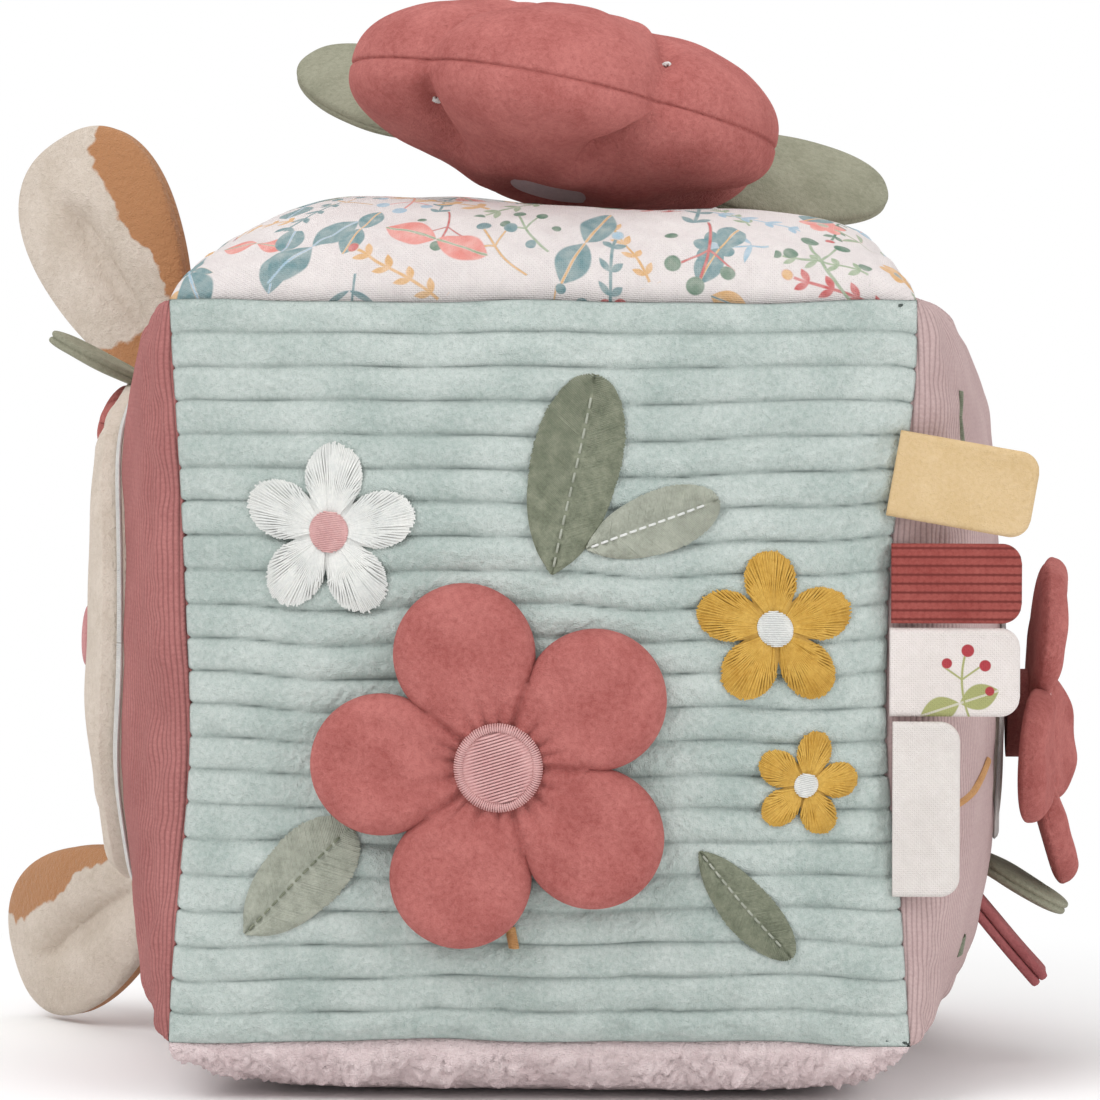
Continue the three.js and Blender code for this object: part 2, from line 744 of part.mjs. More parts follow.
// Two-layer strap with round corners, from its hinge line outwards.
function strapGeometry() {
  const side = strap.width / 2 - tabBevel;
  const far = strap.length - tabBevel;
  const shape = new THREE.Shape();
  shape.moveTo(tabBevel, -side);
  shape.lineTo(far - strap.corner, -side);
  shape.absarc(far - strap.corner, -side + strap.corner, strap.corner, -Math.PI / 2, 0, false);
  shape.absarc(far - strap.corner, side - strap.corner, strap.corner, 0, Math.PI / 2, false);
  shape.lineTo(tabBevel, side);
  shape.closePath();
  const geometry = new THREE.ExtrudeGeometry(shape, {
    depth: strap.thickness - 2 * tabBevel,
    bevelThickness: tabBevel,
    bevelSize: tabBevel,
    bevelSegments: 2,
    curveSegments: 4,
  });
  return geometry.translate(0, 0, tabBevel - strap.thickness / 2);
}

// Height of the padded head above the left panel's skin.
function headTop(across, up) {
  const share = Math.hypot((across - headAcross) / headHalfWidth, (up - headUp) / headHalfHeight);
  return headBaseHeight + 2 * clearance + swell(headRim, headHeight)(Math.min(share, 1));
}

// Outline of an ear about its middle, narrow at its root.
function earOutline(length, width, count) {
  return Array.from({ length: count }, (_, i) => {
    const angle = (i / count) * 2 * Math.PI;
    const along = (1 + Math.cos(angle)) / 2;
    const side = Math.sign(Math.sin(angle)) * Math.abs(Math.sin(angle)) ** earRoundness;
    const widthShare = earRootShare + (1 - earRootShare) * along;
    return [(length / 2) * Math.cos(angle), (width / 2) * side * widthShare];
  });
}

// Ear of two padded layers, a back and a lining, on one hinge line
function addEar(prefix, ear) {
  const face = faces.left;
  const root = skinAt(face, ...ear.placeShares.map((share) => share * half));
  root.addScaledVector(face.out, ear.stand);
  const group = standGroup(block, root, new THREE.Vector3(...ear.reach), new THREE.Vector3(...ear.facing));
  const layer = swell(earRim, earLayer);
  const parting = clearance / 2;
  const fromRoot = flat(earLength / 2);
  const backOutline = earOutline(earLength, earWidth, earPoints);
  const backFace = (share) => -parting - layer(share);
  const back = padGeometry(backOutline, earRingShares, fromRoot, () => -parting, backFace);
  addPiece(group, `${prefix}_back`, back, colours.brown, 1);
  const liningOutline = earOutline(earLength - earInset, earWidth - earInset, earPoints);
  const liningFace = (share) => parting + layer(share);
  const lining = padGeometry(liningOutline, earRingShares, fromRoot, liningFace, () => parting);
  addPiece(group, `${prefix}_lining`, lining, colours.cream, 1);
}

// Animal head on the left panel, looking outwards with its crown towards the back
function buildHead() {
  const face = faces.left;
  const baseHalfWidth = headHalfWidth + headBaseMargin;
  const baseHalfHeight = headHalfHeight + headBaseMargin;
  const baseOutline = ovalOutline(baseHalfWidth, baseHalfHeight, padPoints);
  const onPanel = onFace(face, headAcross, headUp);
  const base = padGeometry(baseOutline, baseRingShares, onPanel, () => headBaseHeight, flush);
  addPiece(block, 'head_base', base, colours.cream);
  const headOutline = ovalOutline(headHalfWidth, headHalfHeight, padPoints);
  const onBase = onFace(face, headAcross, headUp, 0, () => headBaseHeight + 2 * clearance);
  const head = padGeometry(headOutline, headRingShares, onBase, swell(headRim, headHeight), flush);
  addPiece(block, 'head_pad', head, colours.cream, 1);

  const onHead = (across, up) => headTop(across, up) + 2 * clearance;
  const crownOutline = ovalOutline(crownPatch.halfWidth, crownPatch.halfHeight, discPoints);
  const noseOutline = ovalOutline(nose.halfWidth, nose.halfHeight, smallPoints);
  const bloomOutline = flowerOutline(bloom.radius, bloomNotchShare, hubPoints, upward);
  const patches = [
    ['head_crown', crownPatch, crownOutline, colours.brown],
    ['head_nose', nose, noseOutline, colours.nosePink],
    ['head_bloom', bloom, bloomOutline, colours.coral],
  ];
  for (const [name, patch, outline, colour] of patches) {
    const place = onFace(face, ...headSpot(patch), 0, onHead);
    const shape = padGeometry(outline, discRingShares, place, swell(patch.rim, patch.height), flush);
    addPiece(block, name, shape, colour, 1);
  }
  addEar('ear_upper', upperEar);
  addEar('ear_lower', lowerEar);

  const spot = headSpot(bloomLeaf);
  const root = skinAt(face, ...spot);
  root.addScaledVector(face.out, headTop(...spot) + plushRim);
  const leafGroup = flapGroup(root, face.out, bloomLeaf.rise);
  addPiece(leafGroup, 'head_leaf', hingedLeafGeometry(bloomLeaf), colours.sage, 1);
}

// Place of a patch on the head, in millimetres from the left panel's middle.
function headSpot(patch) {
  const [acrossShare, upShare] = patch.headShares;
  return [headAcross + acrossShare * headHalfWidth, headUp + upShare * headHalfHeight];
}

// Half height of the stuffed flower at a share of its outline, drawn in at its middle and along
// the creases between petals.
function puffRise(share, lobeShare) {
  const crease = puffCrease * ((1 - lobeShare) / (1 - puffNotchShare)) * Math.sin(Math.PI * share);
  const tuft = puffTuft * Math.exp(-((share / tuftShare) ** 2));
  return swell(puffRim, puffHalfThickness, puffFullness)(share) - crease - tuft;
}

// Stuffed flower that leans on the top of the block, and the short ribbon that holds it
function buildTopFlower() {
  const turn = new THREE.Euler(puffPitch * degree, puffTilt * degree, 0, 'YXZ');
  const holdShare = tether.back / puffRadius;
  const hold = new THREE.Vector3(0, tether.back, -puffRise(holdShare, 1)).applyEuler(turn);
  const ribbonFoot = skinAt(faces.top, puffX + hold.x, puffY + hold.y);
  const ends = [-tether.width / 2, tether.width / 2];
  const footHeights = ends.map((end) => skinAt(faces.top, ribbonFoot.x + end, ribbonFoot.y).z);
  ribbonFoot.z = Math.max(ribbonFoot.z, ...footHeights) + 3 * clearance;
  const slant = (tether.width / 2) * Math.tan(puffTilt * degree);
  const profile = new THREE.Shape();
  profile.moveTo(-tether.width / 2, 0);
  profile.lineTo(tether.width / 2, 0);
  profile.lineTo(tether.width / 2, tether.tall - slant);
  profile.lineTo(-tether.width / 2, tether.tall + slant);
  profile.closePath();
  const ribbon = new THREE.ExtrudeGeometry(profile, { depth: tether.thickness, bevelEnabled: false });
  ribbon.translate(0, 0, -tether.thickness / 2);
  const foot = standGroup(block, ribbonFoot, new THREE.Vector3(1, 0, 0), faces.front.out);
  addPiece(foot, 'top_tether', ribbon, colours.sage);

  const puff = new THREE.Group();
  puff.position.set(puffX, puffY, ribbonFoot.z + tether.tall + 3 * clearance - hold.z);
  puff.rotation.copy(turn);
  block.add(puff);
  const outline = flowerOutline(puffRadius, puffNotchShare, puffPoints, upward);
  const upper = (share, index) => puffRise(share, Math.hypot(...outline[index]) / puffRadius);
  const lower = (share, index) => -upper(share, index);
  const cushion = padGeometry(outline, puffRingShares, flat(), upper, lower);
  addPiece(puff, 'top_flower', cushion, colours.coral, 1);

  const seat = puffRise(puffDiscRadius / puffRadius, 1) + clearance;
  const discOutline = ovalOutline(puffDiscRadius, puffDiscRadius, discPoints);
  const discTop = swell(discRim, discHeight);
  const disc = padGeometry(discOutline, discRingShares, flat(0, seat), discTop, flush);
  addPiece(puff, 'top_flower_disc', disc, colours.disc, 0.7);
  const under = padGeometry(discOutline, discRingShares, flat(0, -seat), flush, (share) => -discTop(share));
  addPiece(puff, 'top_flower_disc_under', under, colours.disc, 0.7);

  const notch = puffRadius * puffNotchShare + plushRim + 2 * clearance;
  const leaves = [
    ['top_leaf_left', upward + petalAngle / 2, leftLeafReach],
    ['top_leaf_right', upward - petalAngle / 2, rightLeafReach],
  ];
  for (const [name, angle, reach] of leaves) {
    const root = new THREE.Vector3(notch, 0, 0).applyAxisAngle(faces.top.out, angle * degree);
    const group = standGroup(puff, root, new THREE.Vector3(...reach), new THREE.Vector3(...topLeafFacing));
    addPiece(group, name, hingedLeafGeometry(topLeaf), colours.sage, 1);
  }
}

buildBlock();
buildEmbroidery();
buildFrontFlower();
buildTabs();
buildRightSide();
buildHead();
buildTopFlower();

export default block;
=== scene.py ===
"""Soft fabric activity block, dressed in Blender 4.5 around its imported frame.

Every size in this file is in millimetres until a mesh is made. X runs to the right of the corduroy
panel, which faces -Y, and the block stands on z = 0.
"""

from __future__ import annotations

import json
import logging
import math
from dataclasses import dataclass, field
from enum import Enum
from typing import Callable, Iterable, Sequence

import bpy
import numpy as np
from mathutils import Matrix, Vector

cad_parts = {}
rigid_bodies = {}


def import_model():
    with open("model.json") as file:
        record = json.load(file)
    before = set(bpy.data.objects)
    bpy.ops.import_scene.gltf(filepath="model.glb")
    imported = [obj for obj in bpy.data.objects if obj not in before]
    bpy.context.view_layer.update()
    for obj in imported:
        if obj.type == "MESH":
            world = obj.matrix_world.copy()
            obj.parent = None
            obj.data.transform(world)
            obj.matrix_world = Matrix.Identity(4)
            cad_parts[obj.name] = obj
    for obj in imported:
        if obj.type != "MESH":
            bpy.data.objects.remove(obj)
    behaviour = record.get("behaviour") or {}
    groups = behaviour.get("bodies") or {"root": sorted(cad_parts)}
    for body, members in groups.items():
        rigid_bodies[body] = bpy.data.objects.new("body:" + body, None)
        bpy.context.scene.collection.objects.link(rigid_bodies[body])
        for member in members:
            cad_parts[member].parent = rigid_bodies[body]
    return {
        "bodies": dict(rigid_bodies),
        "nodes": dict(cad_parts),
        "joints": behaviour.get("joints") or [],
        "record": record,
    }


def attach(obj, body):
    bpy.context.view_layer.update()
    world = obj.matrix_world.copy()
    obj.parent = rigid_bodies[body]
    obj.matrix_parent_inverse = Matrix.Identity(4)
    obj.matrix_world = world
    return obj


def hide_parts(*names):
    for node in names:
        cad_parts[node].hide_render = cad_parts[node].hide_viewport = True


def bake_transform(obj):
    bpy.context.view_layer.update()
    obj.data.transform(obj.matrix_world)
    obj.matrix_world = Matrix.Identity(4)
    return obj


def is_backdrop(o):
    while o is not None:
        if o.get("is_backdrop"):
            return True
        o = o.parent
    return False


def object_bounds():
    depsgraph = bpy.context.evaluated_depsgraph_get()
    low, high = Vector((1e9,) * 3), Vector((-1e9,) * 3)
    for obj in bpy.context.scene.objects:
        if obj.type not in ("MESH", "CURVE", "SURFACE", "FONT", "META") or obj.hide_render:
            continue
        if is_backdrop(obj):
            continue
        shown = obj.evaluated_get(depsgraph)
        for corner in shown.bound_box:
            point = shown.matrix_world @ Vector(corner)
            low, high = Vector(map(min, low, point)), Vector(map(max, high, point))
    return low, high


LOG = logging.getLogger("fabric_block")
MM = 0.001
DEGREE = math.pi / 180
PETALS = 5
CLOTH_FRAMES = 20

Array = np.ndarray
Triple = tuple[float, float, float]
Colour = tuple[int, int, int]
Place = Callable[[Array, Array, Array], Array]


def tone(red: int, green: int, blue: int) -> tuple[float, float, float, float]:
    """Linear colour of a display colour.

    Args:
        red, green, blue: the display colour, from 0 to 255.

    Returns:
        The linear colour with full alpha.
    """
    linear = [(part / 255) ** 2.2 for part in (red, green, blue)]
    return (linear[0], linear[1], linear[2], 1.0)


class Ripple:
    """Smooth seeded noise over points: a sum of sine waves in mixed directions."""

    def __init__(self, wavelength: float, seed: int, waves: int = 14) -> None:
        """Draws the waves.

        Args:
            wavelength: the middle wavelength, in millimetres.
            seed: the seed of the draw.
            waves: how many waves are summed.
        """
        draw = np.random.default_rng(seed)
        directions = draw.normal(size=(waves, 3))
        directions /= np.linalg.norm(directions, axis=1)[:, None]
        lengths = wavelength * draw.uniform(0.65, 1.6, waves)
        self.vectors = directions * (2 * math.pi / lengths)[:, None]
        self.phases = draw.uniform(0, 2 * math.pi, waves)

    def __call__(self, points: Array) -> Array:
        """Noise at points, mostly between -1 and 1."""
        return np.sin(points @ self.vectors.T + self.phases).sum(-1) / math.sqrt(len(self.phases))


# Meshes


def link(name: str, data: bpy.types.ID) -> bpy.types.Object:
    """Makes an object of some data and links it to the scene."""
    made = bpy.data.objects.new(name, data)
    bpy.context.scene.collection.objects.link(made)
    return made


def outward(points: Array, faces: list[tuple[int, ...]]) -> list[tuple[int, ...]]:
    """Turns a closed shape's faces so that they point outwards.

    Args:
        points: the vertices.
        faces: the faces of one closed shape, all turned alike.

    Returns:
        The faces, turned round if the shape was inside out.
    """
    sample = np.array([(face[0], face[1], face[2]) for face in faces])
    rest = np.array([(face[0], face[2], face[3]) for face in faces if len(face) == 4])
    triangles = np.vstack([sample, rest]) if len(rest) else sample
    a, b, c = (points[triangles[:, corner]] for corner in range(3))
    volume = np.einsum("ij,ij->i", a, np.cross(b, c)).sum()
    return faces if volume > 0 else [tuple(reversed(face)) for face in faces]


def make_piece(
    name: str, points: Array, faces: list[tuple[int, ...]], material: bpy.types.Material, uv: Array | None = None,
    marks: dict[str, Array] | None = None
) -> bpy.types.Object:
    """Makes one closed mesh object from millimetre points.

    Args:
        name: the piece's name.
        points: its vertices, in millimetres.
        faces: its faces.
        material: its finish.
        uv: a texture place for each vertex, in metres, or None.
        marks: numbers for each vertex that the material reads, by attribute name.

    Returns:
        The new object, linked to the scene.
    """
    flat = np.asarray(points, float).reshape(-1, 3)
    mesh = bpy.data.meshes.new(name)
    mesh.from_pydata((flat * MM).tolist(), [], outward(flat, faces))
    mesh.polygons.foreach_set("use_smooth", np.ones(len(mesh.polygons), bool))
    if uv is not None:
        corners = np.zeros(len(mesh.loops), int)
        mesh.loops.foreach_get("vertex_index", corners)
        layer = mesh.uv_layers.new(name="UVMap")
        layer.data.foreach_set("uv", np.asarray(uv, np.float32)[corners].ravel())
    for mark, values in (marks or {}).items():
        attribute = mesh.attributes.new(mark, "FLOAT", "POINT")
        attribute.data.foreach_set("value", np.asarray(values, np.float32).ravel())
    mesh.materials.append(material)
    mesh.update()
    return link(name, mesh)


def grid_faces(rows: int, columns: int, start: int = 0, wrap: bool = False) -> list[tuple[int, ...]]:
    """Quads of a grid of points.

    Args:
        rows, columns: points each way.
        start: index of the grid's first point.
        wrap: whether the last column joins the first.

    Returns:
        The quads.
    """
    row, column = np.meshgrid(np.arange(rows - 1), np.arange(columns if wrap else columns - 1), indexing="ij")
    after = (column + 1) % columns
    corners = (
        row * columns + column, row * columns + after, (row + 1) * columns + after, (row + 1) * columns + column
    )
    return [tuple(quad) for quad in (np.stack(corners, -1).reshape(-1, 4) + start).tolist()]


def grid_rim(rows: int, columns: int) -> list[int]:
    """Places of a grid's outer points, in their order round it."""
    rim = list(range(columns)) + [row * columns + columns - 1 for row in range(1, rows)]
    rim += [(rows - 1) * columns + column for column in range(columns - 2, -1, -1)]
    return rim + [row * columns for row in range(rows - 2, 0, -1)]


def slab_faces(rows: int, columns: int) -> list[tuple[int, ...]]:
    """Faces of a closed slab between an upper and a lower grid of the same size.

    Args:
        rows, columns: points of one grid each way.

    Returns:
        The faces, for the upper grid's points followed by the lower grid's.
    """
    under = rows * columns
    faces = grid_faces(rows, columns)
    faces += [tuple(reversed(face)) for face in grid_faces(rows, columns, under)]
    rim = grid_rim(rows, columns)
    for place, a in enumerate(rim):
        b = rim[(place + 1) % len(rim)]
        faces.append((b, a, under + a, under + b))
    return faces


def ring_faces(rings: int, count: int) -> list[tuple[int, ...]]:
    """Faces of a closed pad of two stacks of rings, each ending in a middle point.

    Args:
        rings: rings on each side.
        count: points in each ring.

    Returns:
        The faces, for the upper side's points followed by the lower side's.
    """
    side = rings * count + 1
    faces = grid_faces(rings, count, wrap=True)
    faces += [tuple(reversed(face)) for face in grid_faces(rings, count, side, wrap=True)]
    last = (rings - 1) * count
    for index in range(count):
        after = (index + 1) % count
        faces.append((last + index, last + after, rings * count))
        faces.append((side + last + after, side + last + index, side + rings * count))
        faces.append((after, index, side + index, side + after))
    return faces


def spots(x: Array, y: Array, z: Array | float = 0.0) -> Array:
    """Points of a flat pattern, where noise is read."""
    return np.stack([x, y, 0 * x + z], -1)


def rounded(share: Array, power: float = 0.5) -> Array:
    """Round-shouldered height, 1 at share 0 and 0 at share 1."""
    return np.clip(1 - share * share, 0, 1) ** power


def soft_step(value: Array, low: float, high: float) -> Array:
    """Smooth step from 0 at low to 1 at high."""
    share = np.clip((value - low) / (high - low), 0, 1)
    return share * share * (3 - 2 * share)


def dome(low: float, high: float) -> Place:
    """Height of a face that rises from its edge to its middle."""
    return lambda x, y, share: low + (high - low) * rounded(share)


def plane(height: float) -> Place:
    """Height of a flat face."""
    return lambda x, y, share: 0 * x + height


def ring_shares(count: int) -> Array:
    """Shares of an outline for a pad's rings, closer together near its edge."""
    return np.cos(np.linspace(0, math.pi / 2, count + 1)[:-1])


def turns(count: int) -> Array:
    """Angles evenly round a circle."""
    return np.arange(count) / count * 2 * math.pi


def ray(angle: Array | float, reach: Array | float = 1.0) -> Array:
    """Places at angles and distances from a middle, as x and y."""
    return np.stack([reach * np.cos(angle), reach * np.sin(angle)], -1)


def oval(half_width: float, half_height: float, count: int = 96) -> Array:
    """Outline of an ellipse."""
    return ray(turns(count)) * [half_width, half_height]


def flower_reach(angle: Array, radius: float, notch_share: float, roundness: float = 0.7) -> Array:
    """Distance from a flower's middle to its edge, with one petal at angle 0."""
    lobe = np.abs(np.cos(PETALS / 2 * angle)) ** roundness
    return radius * (notch_share + (1 - notch_share) * lobe)


def leaf_outline(length: float, width: float, taper: float = 1.3, count: int = 64) -> Array:
    """Outline of a leaf about its middle, pointed at both ends."""
    angle = turns(count)
    side = np.sign(np.sin(angle)) * np.abs(np.sin(angle)) ** taper
    return np.stack([length / 2 * np.cos(angle), width / 2 * side], -1)


def flower_outline(radius: float, notch_share: float, turn: float, count: int = 100) -> Array:
    """Outline of a five-petalled flower with one petal at a turn in degrees."""
    angle = turns(count)
    return ray(angle, flower_reach(angle - turn * DEGREE, radius, notch_share))


def ringed(outline: Array, shares: Sequence[float]) -> tuple[Array, Array, Array, Array]:
    """X, y, share and both faces' texture places of an outline's rings, with their middle last."""
    x, y = (np.append(np.outer(shares, outline[:, axis]).ravel(), 0) for axis in range(2))
    share = np.append(np.repeat(shares, len(outline)), 0)
    return x, y, share, np.tile(np.stack([x, y], -1) * MM, (2, 1))


def seamed_pad(
    name: str, outline: Array, place: Place, rise: Callable[[Array, Array, Array, int], Array], rim: float,
    material: bpy.types.Material, rings: int = 12, groove: float = 0.5,
    marks: Callable[[Array, Array], dict[str, Array]] | None = None
) -> bpy.types.Object:
    """Makes a stuffed pad sewn from two faces, with a groove where their edges meet.

    Args:
        name: the piece's name.
        outline: points round the pad, as rows of x and y.
        place: turns x, y and height into points.
        rise: height of a face at x, y, a share of the outline and the face's side, 1 or -1.
        rim: how far each face stands off the seam at its edge.
        material: its finish.
        rings: rings on each face.
        groove: how deep the seam lies.
        marks: numbers that the material reads, worked out from x and y.

    Returns:
        The new object.
    """
    size = np.hypot(outline[:, 0], outline[:, 1]).max()
    shares = np.concatenate([[1 - groove / size, 1 - groove / size / 6, 1.0], ring_shares(rings)[1:]])
    x, y, share, uv = ringed(outline, shares)
    faces = []
    for side in (1, -1):
        height = rim + np.maximum(rise(x, y, share, side) - rim, 0) * rounded(np.clip(share, 0, 1), 0.4)
        for ring, level in enumerate((0.03, rim * 0.35, rim * 0.8)):
            height[ring * len(outline) : (ring + 1) * len(outline)] = level
        faces.append(place(x, y, side * height))
    shown = {mark: np.tile(values, 2) for mark, values in marks(x, y).items()} if marks else None
    return make_piece(name, np.vstack(faces), ring_faces(len(shares), len(outline)), material, uv, shown)


def ribbon(
    name: str, length: float, width: float, corner: float, place: Place, half_thickness: float,
    material: bpy.types.Material, root: float = 0.0, relief: Callable[[Array, Array], Array] | None = None
) -> bpy.types.Object:
    """Makes a flat strip with two round outer corners.

    Args:
        name: the piece's name.
        length, width: its size beyond its hinge line.
        corner: radius of its outer corners.
        place: turns x, y and height into points.
        half_thickness: half its thickness.
        material: its finish.
        root: how far it runs back past its hinge line.
        relief: how far the cloth stands in or out at x and y, or None.

    Returns:
        The new object.
    """
    run = np.linspace(0, 1, 60)
    x = -root + (length + root) * (0.6 * run + 0.4 * np.sin(run * math.pi / 2))
    into = np.clip(x - (length - corner), 0, corner)
    half_width = width / 2 - corner + np.sqrt(corner**2 - into**2)
    across = np.sin(np.linspace(-0.5, 0.5, 72) * math.pi) * 0.5 + np.linspace(-1, 1, 72) * 0.5
    x, y = np.broadcast_arrays(x[:, None], half_width[:, None] * across[None, :])
    free = np.minimum(half_width[:, None] * (1 - np.abs(across)), length - x)
    height = 0.12 + (half_thickness - 0.12) * rounded(1 - np.clip(free / half_thickness, 0, 1))
    worked = height + (relief(x, y) * soft_step(free, 0.2, 1.0) if relief else 0)
    sway = 0.25 * Ripple(16.0, 91)(spots(x, y)) * soft_step(x, 0.0, length)
    points = [place(x, y, side * worked + sway).reshape(-1, 3) for side in (1, -1)]
    uv = np.tile(np.stack([x, y], -1).reshape(-1, 2) * MM, (2, 1))
    return make_piece(name, np.vstack(points), slab_faces(*x.shape), material, uv)


def along(*points: Triple, steps: int = 24) -> Array:
    """Points evenly along a smooth line through a few points."""
    knots = np.array(points, float)
    place = np.linspace(0, len(knots) - 1, steps)
    return np.stack([np.interp(place, range(len(knots)), knots[:, axis]) for axis in range(knots.shape[1])], -1)


def sloped(drop: float, side: int = 1) -> tuple[Triple, Triple]:
    """Reach and facing of a piece that runs out to one side and drops by some degrees."""
    cos, sin = math.cos(drop * DEGREE), math.sin(drop * DEGREE)
    return (side * cos, 0.0, -sin), (side * sin, 0.0, cos)


@dataclass(frozen=True)
class Stand:
    """A piece's own frame: X along its reach, Z towards the side that it faces."""

    origin: Triple
    reach: Triple
    facing: Triple

    def axes(self) -> tuple[Array, Array, Array]:
        """Unit vectors of the frame's X, Y and Z."""
        x = np.array(self.reach, float)
        x /= np.linalg.norm(x)
        y = np.cross(np.array(self.facing, float), x)
        y /= np.linalg.norm(y)
        return x, y, np.cross(x, y)

    def place(self, x: Array, y: Array, height: Array) -> Array:
        """Points of the block at places in this frame."""
        across, up, out = self.axes()
        return (
            np.array(self.origin)
            + np.asarray(x)[..., None] * across
            + np.asarray(y)[..., None] * up
            + np.asarray(height)[..., None] * out
        )

    def turned(self, degrees: float) -> Stand:
        """The same frame turned about its Z."""
        x, y, z = self.axes()
        reach = math.cos(degrees * DEGREE) * x + math.sin(degrees * DEGREE) * y
        return Stand(self.origin, tuple(reach), tuple(z))

    def raised(self, height: float) -> Stand:
        """The same frame moved along its Z."""
        x, _, z = self.axes()
        return Stand(tuple(np.array(self.origin) + height * z), tuple(x), tuple(z))


# Shader nodes


def fresh(owner: bpy.types.Material | bpy.types.World) -> Graph:
    """Graph of a material's or a world's own node tree, emptied."""
    owner.use_nodes = True
    owner.node_tree.nodes.clear()
    return Graph(owner.node_tree)


class Graph:
    """Adds nodes to one node tree and joins them by plain calls."""

    def __init__(self, tree: bpy.types.NodeTree) -> None:
        """Works on a tree."""
        self.tree = tree

    def add(self, kind: str, inputs: dict[str, object] | None = None, **settings: object) -> bpy.types.Node:
        """Adds a node.

        Args:
            kind: its Blender type.
            inputs: sockets or values for its inputs, by name.
            settings: its properties.

        Returns:
            The node.
        """
        node = self.tree.nodes.new(kind)
        for name, value in settings.items():
            setattr(node, name, value)
        for name, value in (inputs or {}).items():
            self.feed(node.inputs[name], value)
        return node

    def feed(self, socket: bpy.types.NodeSocket, value: object) -> None:
        """Links a socket to an input, or sets the input's value."""
        if isinstance(value, bpy.types.NodeSocket):
            self.tree.links.new(value, socket)
        else:
            socket.default_value = value

    def math(self, operation: str, *values: object, clamp: bool = False) -> bpy.types.NodeSocket:
        """Result of one Math node on sockets or numbers."""
        node = self.add("ShaderNodeMath", operation=operation, use_clamp=clamp)
        for socket, value in zip(node.inputs, values):
            self.feed(socket, value)
        return node.outputs[0]

    def noise(self, vector: object, scale: object, detail: float = 2.0) -> bpy.types.NodeSocket:
        """Noise between 0 and 1 at a vector."""
        inputs = {"Vector": vector, "Scale": scale, "Detail": detail}
        return self.add("ShaderNodeTexNoise", inputs).outputs["Fac"]

    def mix(self, factor: object, first: object, second: object) -> bpy.types.NodeSocket:
        """Mix of two colours."""
        node = self.add("ShaderNodeMix", data_type="RGBA")
        for index, value in ((0, factor), (6, first), (7, second)):
            self.feed(node.inputs[index], value)
        return node.outputs[2]

    def spread(self, value: object, low: float, high: float) -> bpy.types.NodeSocket:
        """Value stretched so that low gives 0 and high gives 1, and no more."""
        node = self.add("ShaderNodeMapRange", {"Value": value, "From Min": low, "From Max": high})
        return node.outputs["Result"]

    def axes(self, vector: object, scale: object = 1.0) -> tuple[Field, Field]:
        """X and Y of a vector, times a scale."""
        apart = self.add("ShaderNodeSeparateXYZ", {"Vector": vector})
        across, up = (Field(self, apart.outputs[axis]) * scale for axis in ("X", "Y"))
        return across, up

    def blend(self, factor: object, first: bpy.types.Node, second: bpy.types.Node) -> bpy.types.NodeSocket:
        """Mix of two shaders."""
        inputs = {0: factor, 1: first.outputs[0], 2: second.outputs[0]}
        return self.add("ShaderNodeMixShader", inputs).outputs[0]


def math_step(operation: str) -> Callable[..., Field]:
    """Makes a method that runs one Math node on a field and others."""

    def step(value: Field, *others: object, clamp: bool = False) -> Field:
        """Field of the node's result."""
        values = [other.socket if isinstance(other, Field) else other for other in others]
        return Field(value.graph, value.graph.math(operation, value.socket, *values, clamp=clamp))

    return step


@dataclass
class Field:
    """A number that varies over a surface, written as plain arithmetic on node sockets."""

    graph: Graph
    socket: bpy.types.NodeSocket
    __add__ = math_step("ADD")
    __sub__ = math_step("SUBTRACT")
    __mul__ = math_step("MULTIPLY")
    __abs__ = math_step("ABSOLUTE")
    sin = math_step("SINE")
    cos = math_step("COSINE")
    fraction = math_step("FRACT")
    root = math_step("SQRT")
    angle_to = math_step("ARCTAN2")
    least = math_step("MINIMUM")
    most = math_step("MAXIMUM")

    def __rsub__(self, other: float) -> Field:
        """A number less the field."""
        return self * -1 + other

    def mask(self, sharpness: float) -> Field:
        """1 where the field is above zero, 0 below, with a soft edge."""
        return math_step("ADD")(self * sharpness, 0.5, clamp=True)


def shader_group(name: str, numbers: dict[str, float], outputs: Sequence[str]) -> tuple:
    """Starts a shader node group that reads a vector and some numbers.

    Args:
        name: the group's name.
        numbers: the first value of each number, by name.
        outputs: its outputs, each a number apart from one named Color.

    Returns:
        The tree, its graph, the group's input node and its output node.
    """
    tree = bpy.data.node_groups.new(name, "ShaderNodeTree")
    tree.interface.new_socket("Vector", in_out="INPUT", socket_type="NodeSocketVector")
    for label, value in numbers.items():
        tree.interface.new_socket(label, in_out="INPUT", socket_type="NodeSocketFloat").default_value = value
    for label in outputs:
        kind = "NodeSocketColor" if label == "Color" else "NodeSocketFloat"
        tree.interface.new_socket(label, in_out="OUTPUT", socket_type=kind)
    graph = Graph(tree)
    return tree, graph, graph.add("NodeGroupInput"), graph.add("NodeGroupOutput")


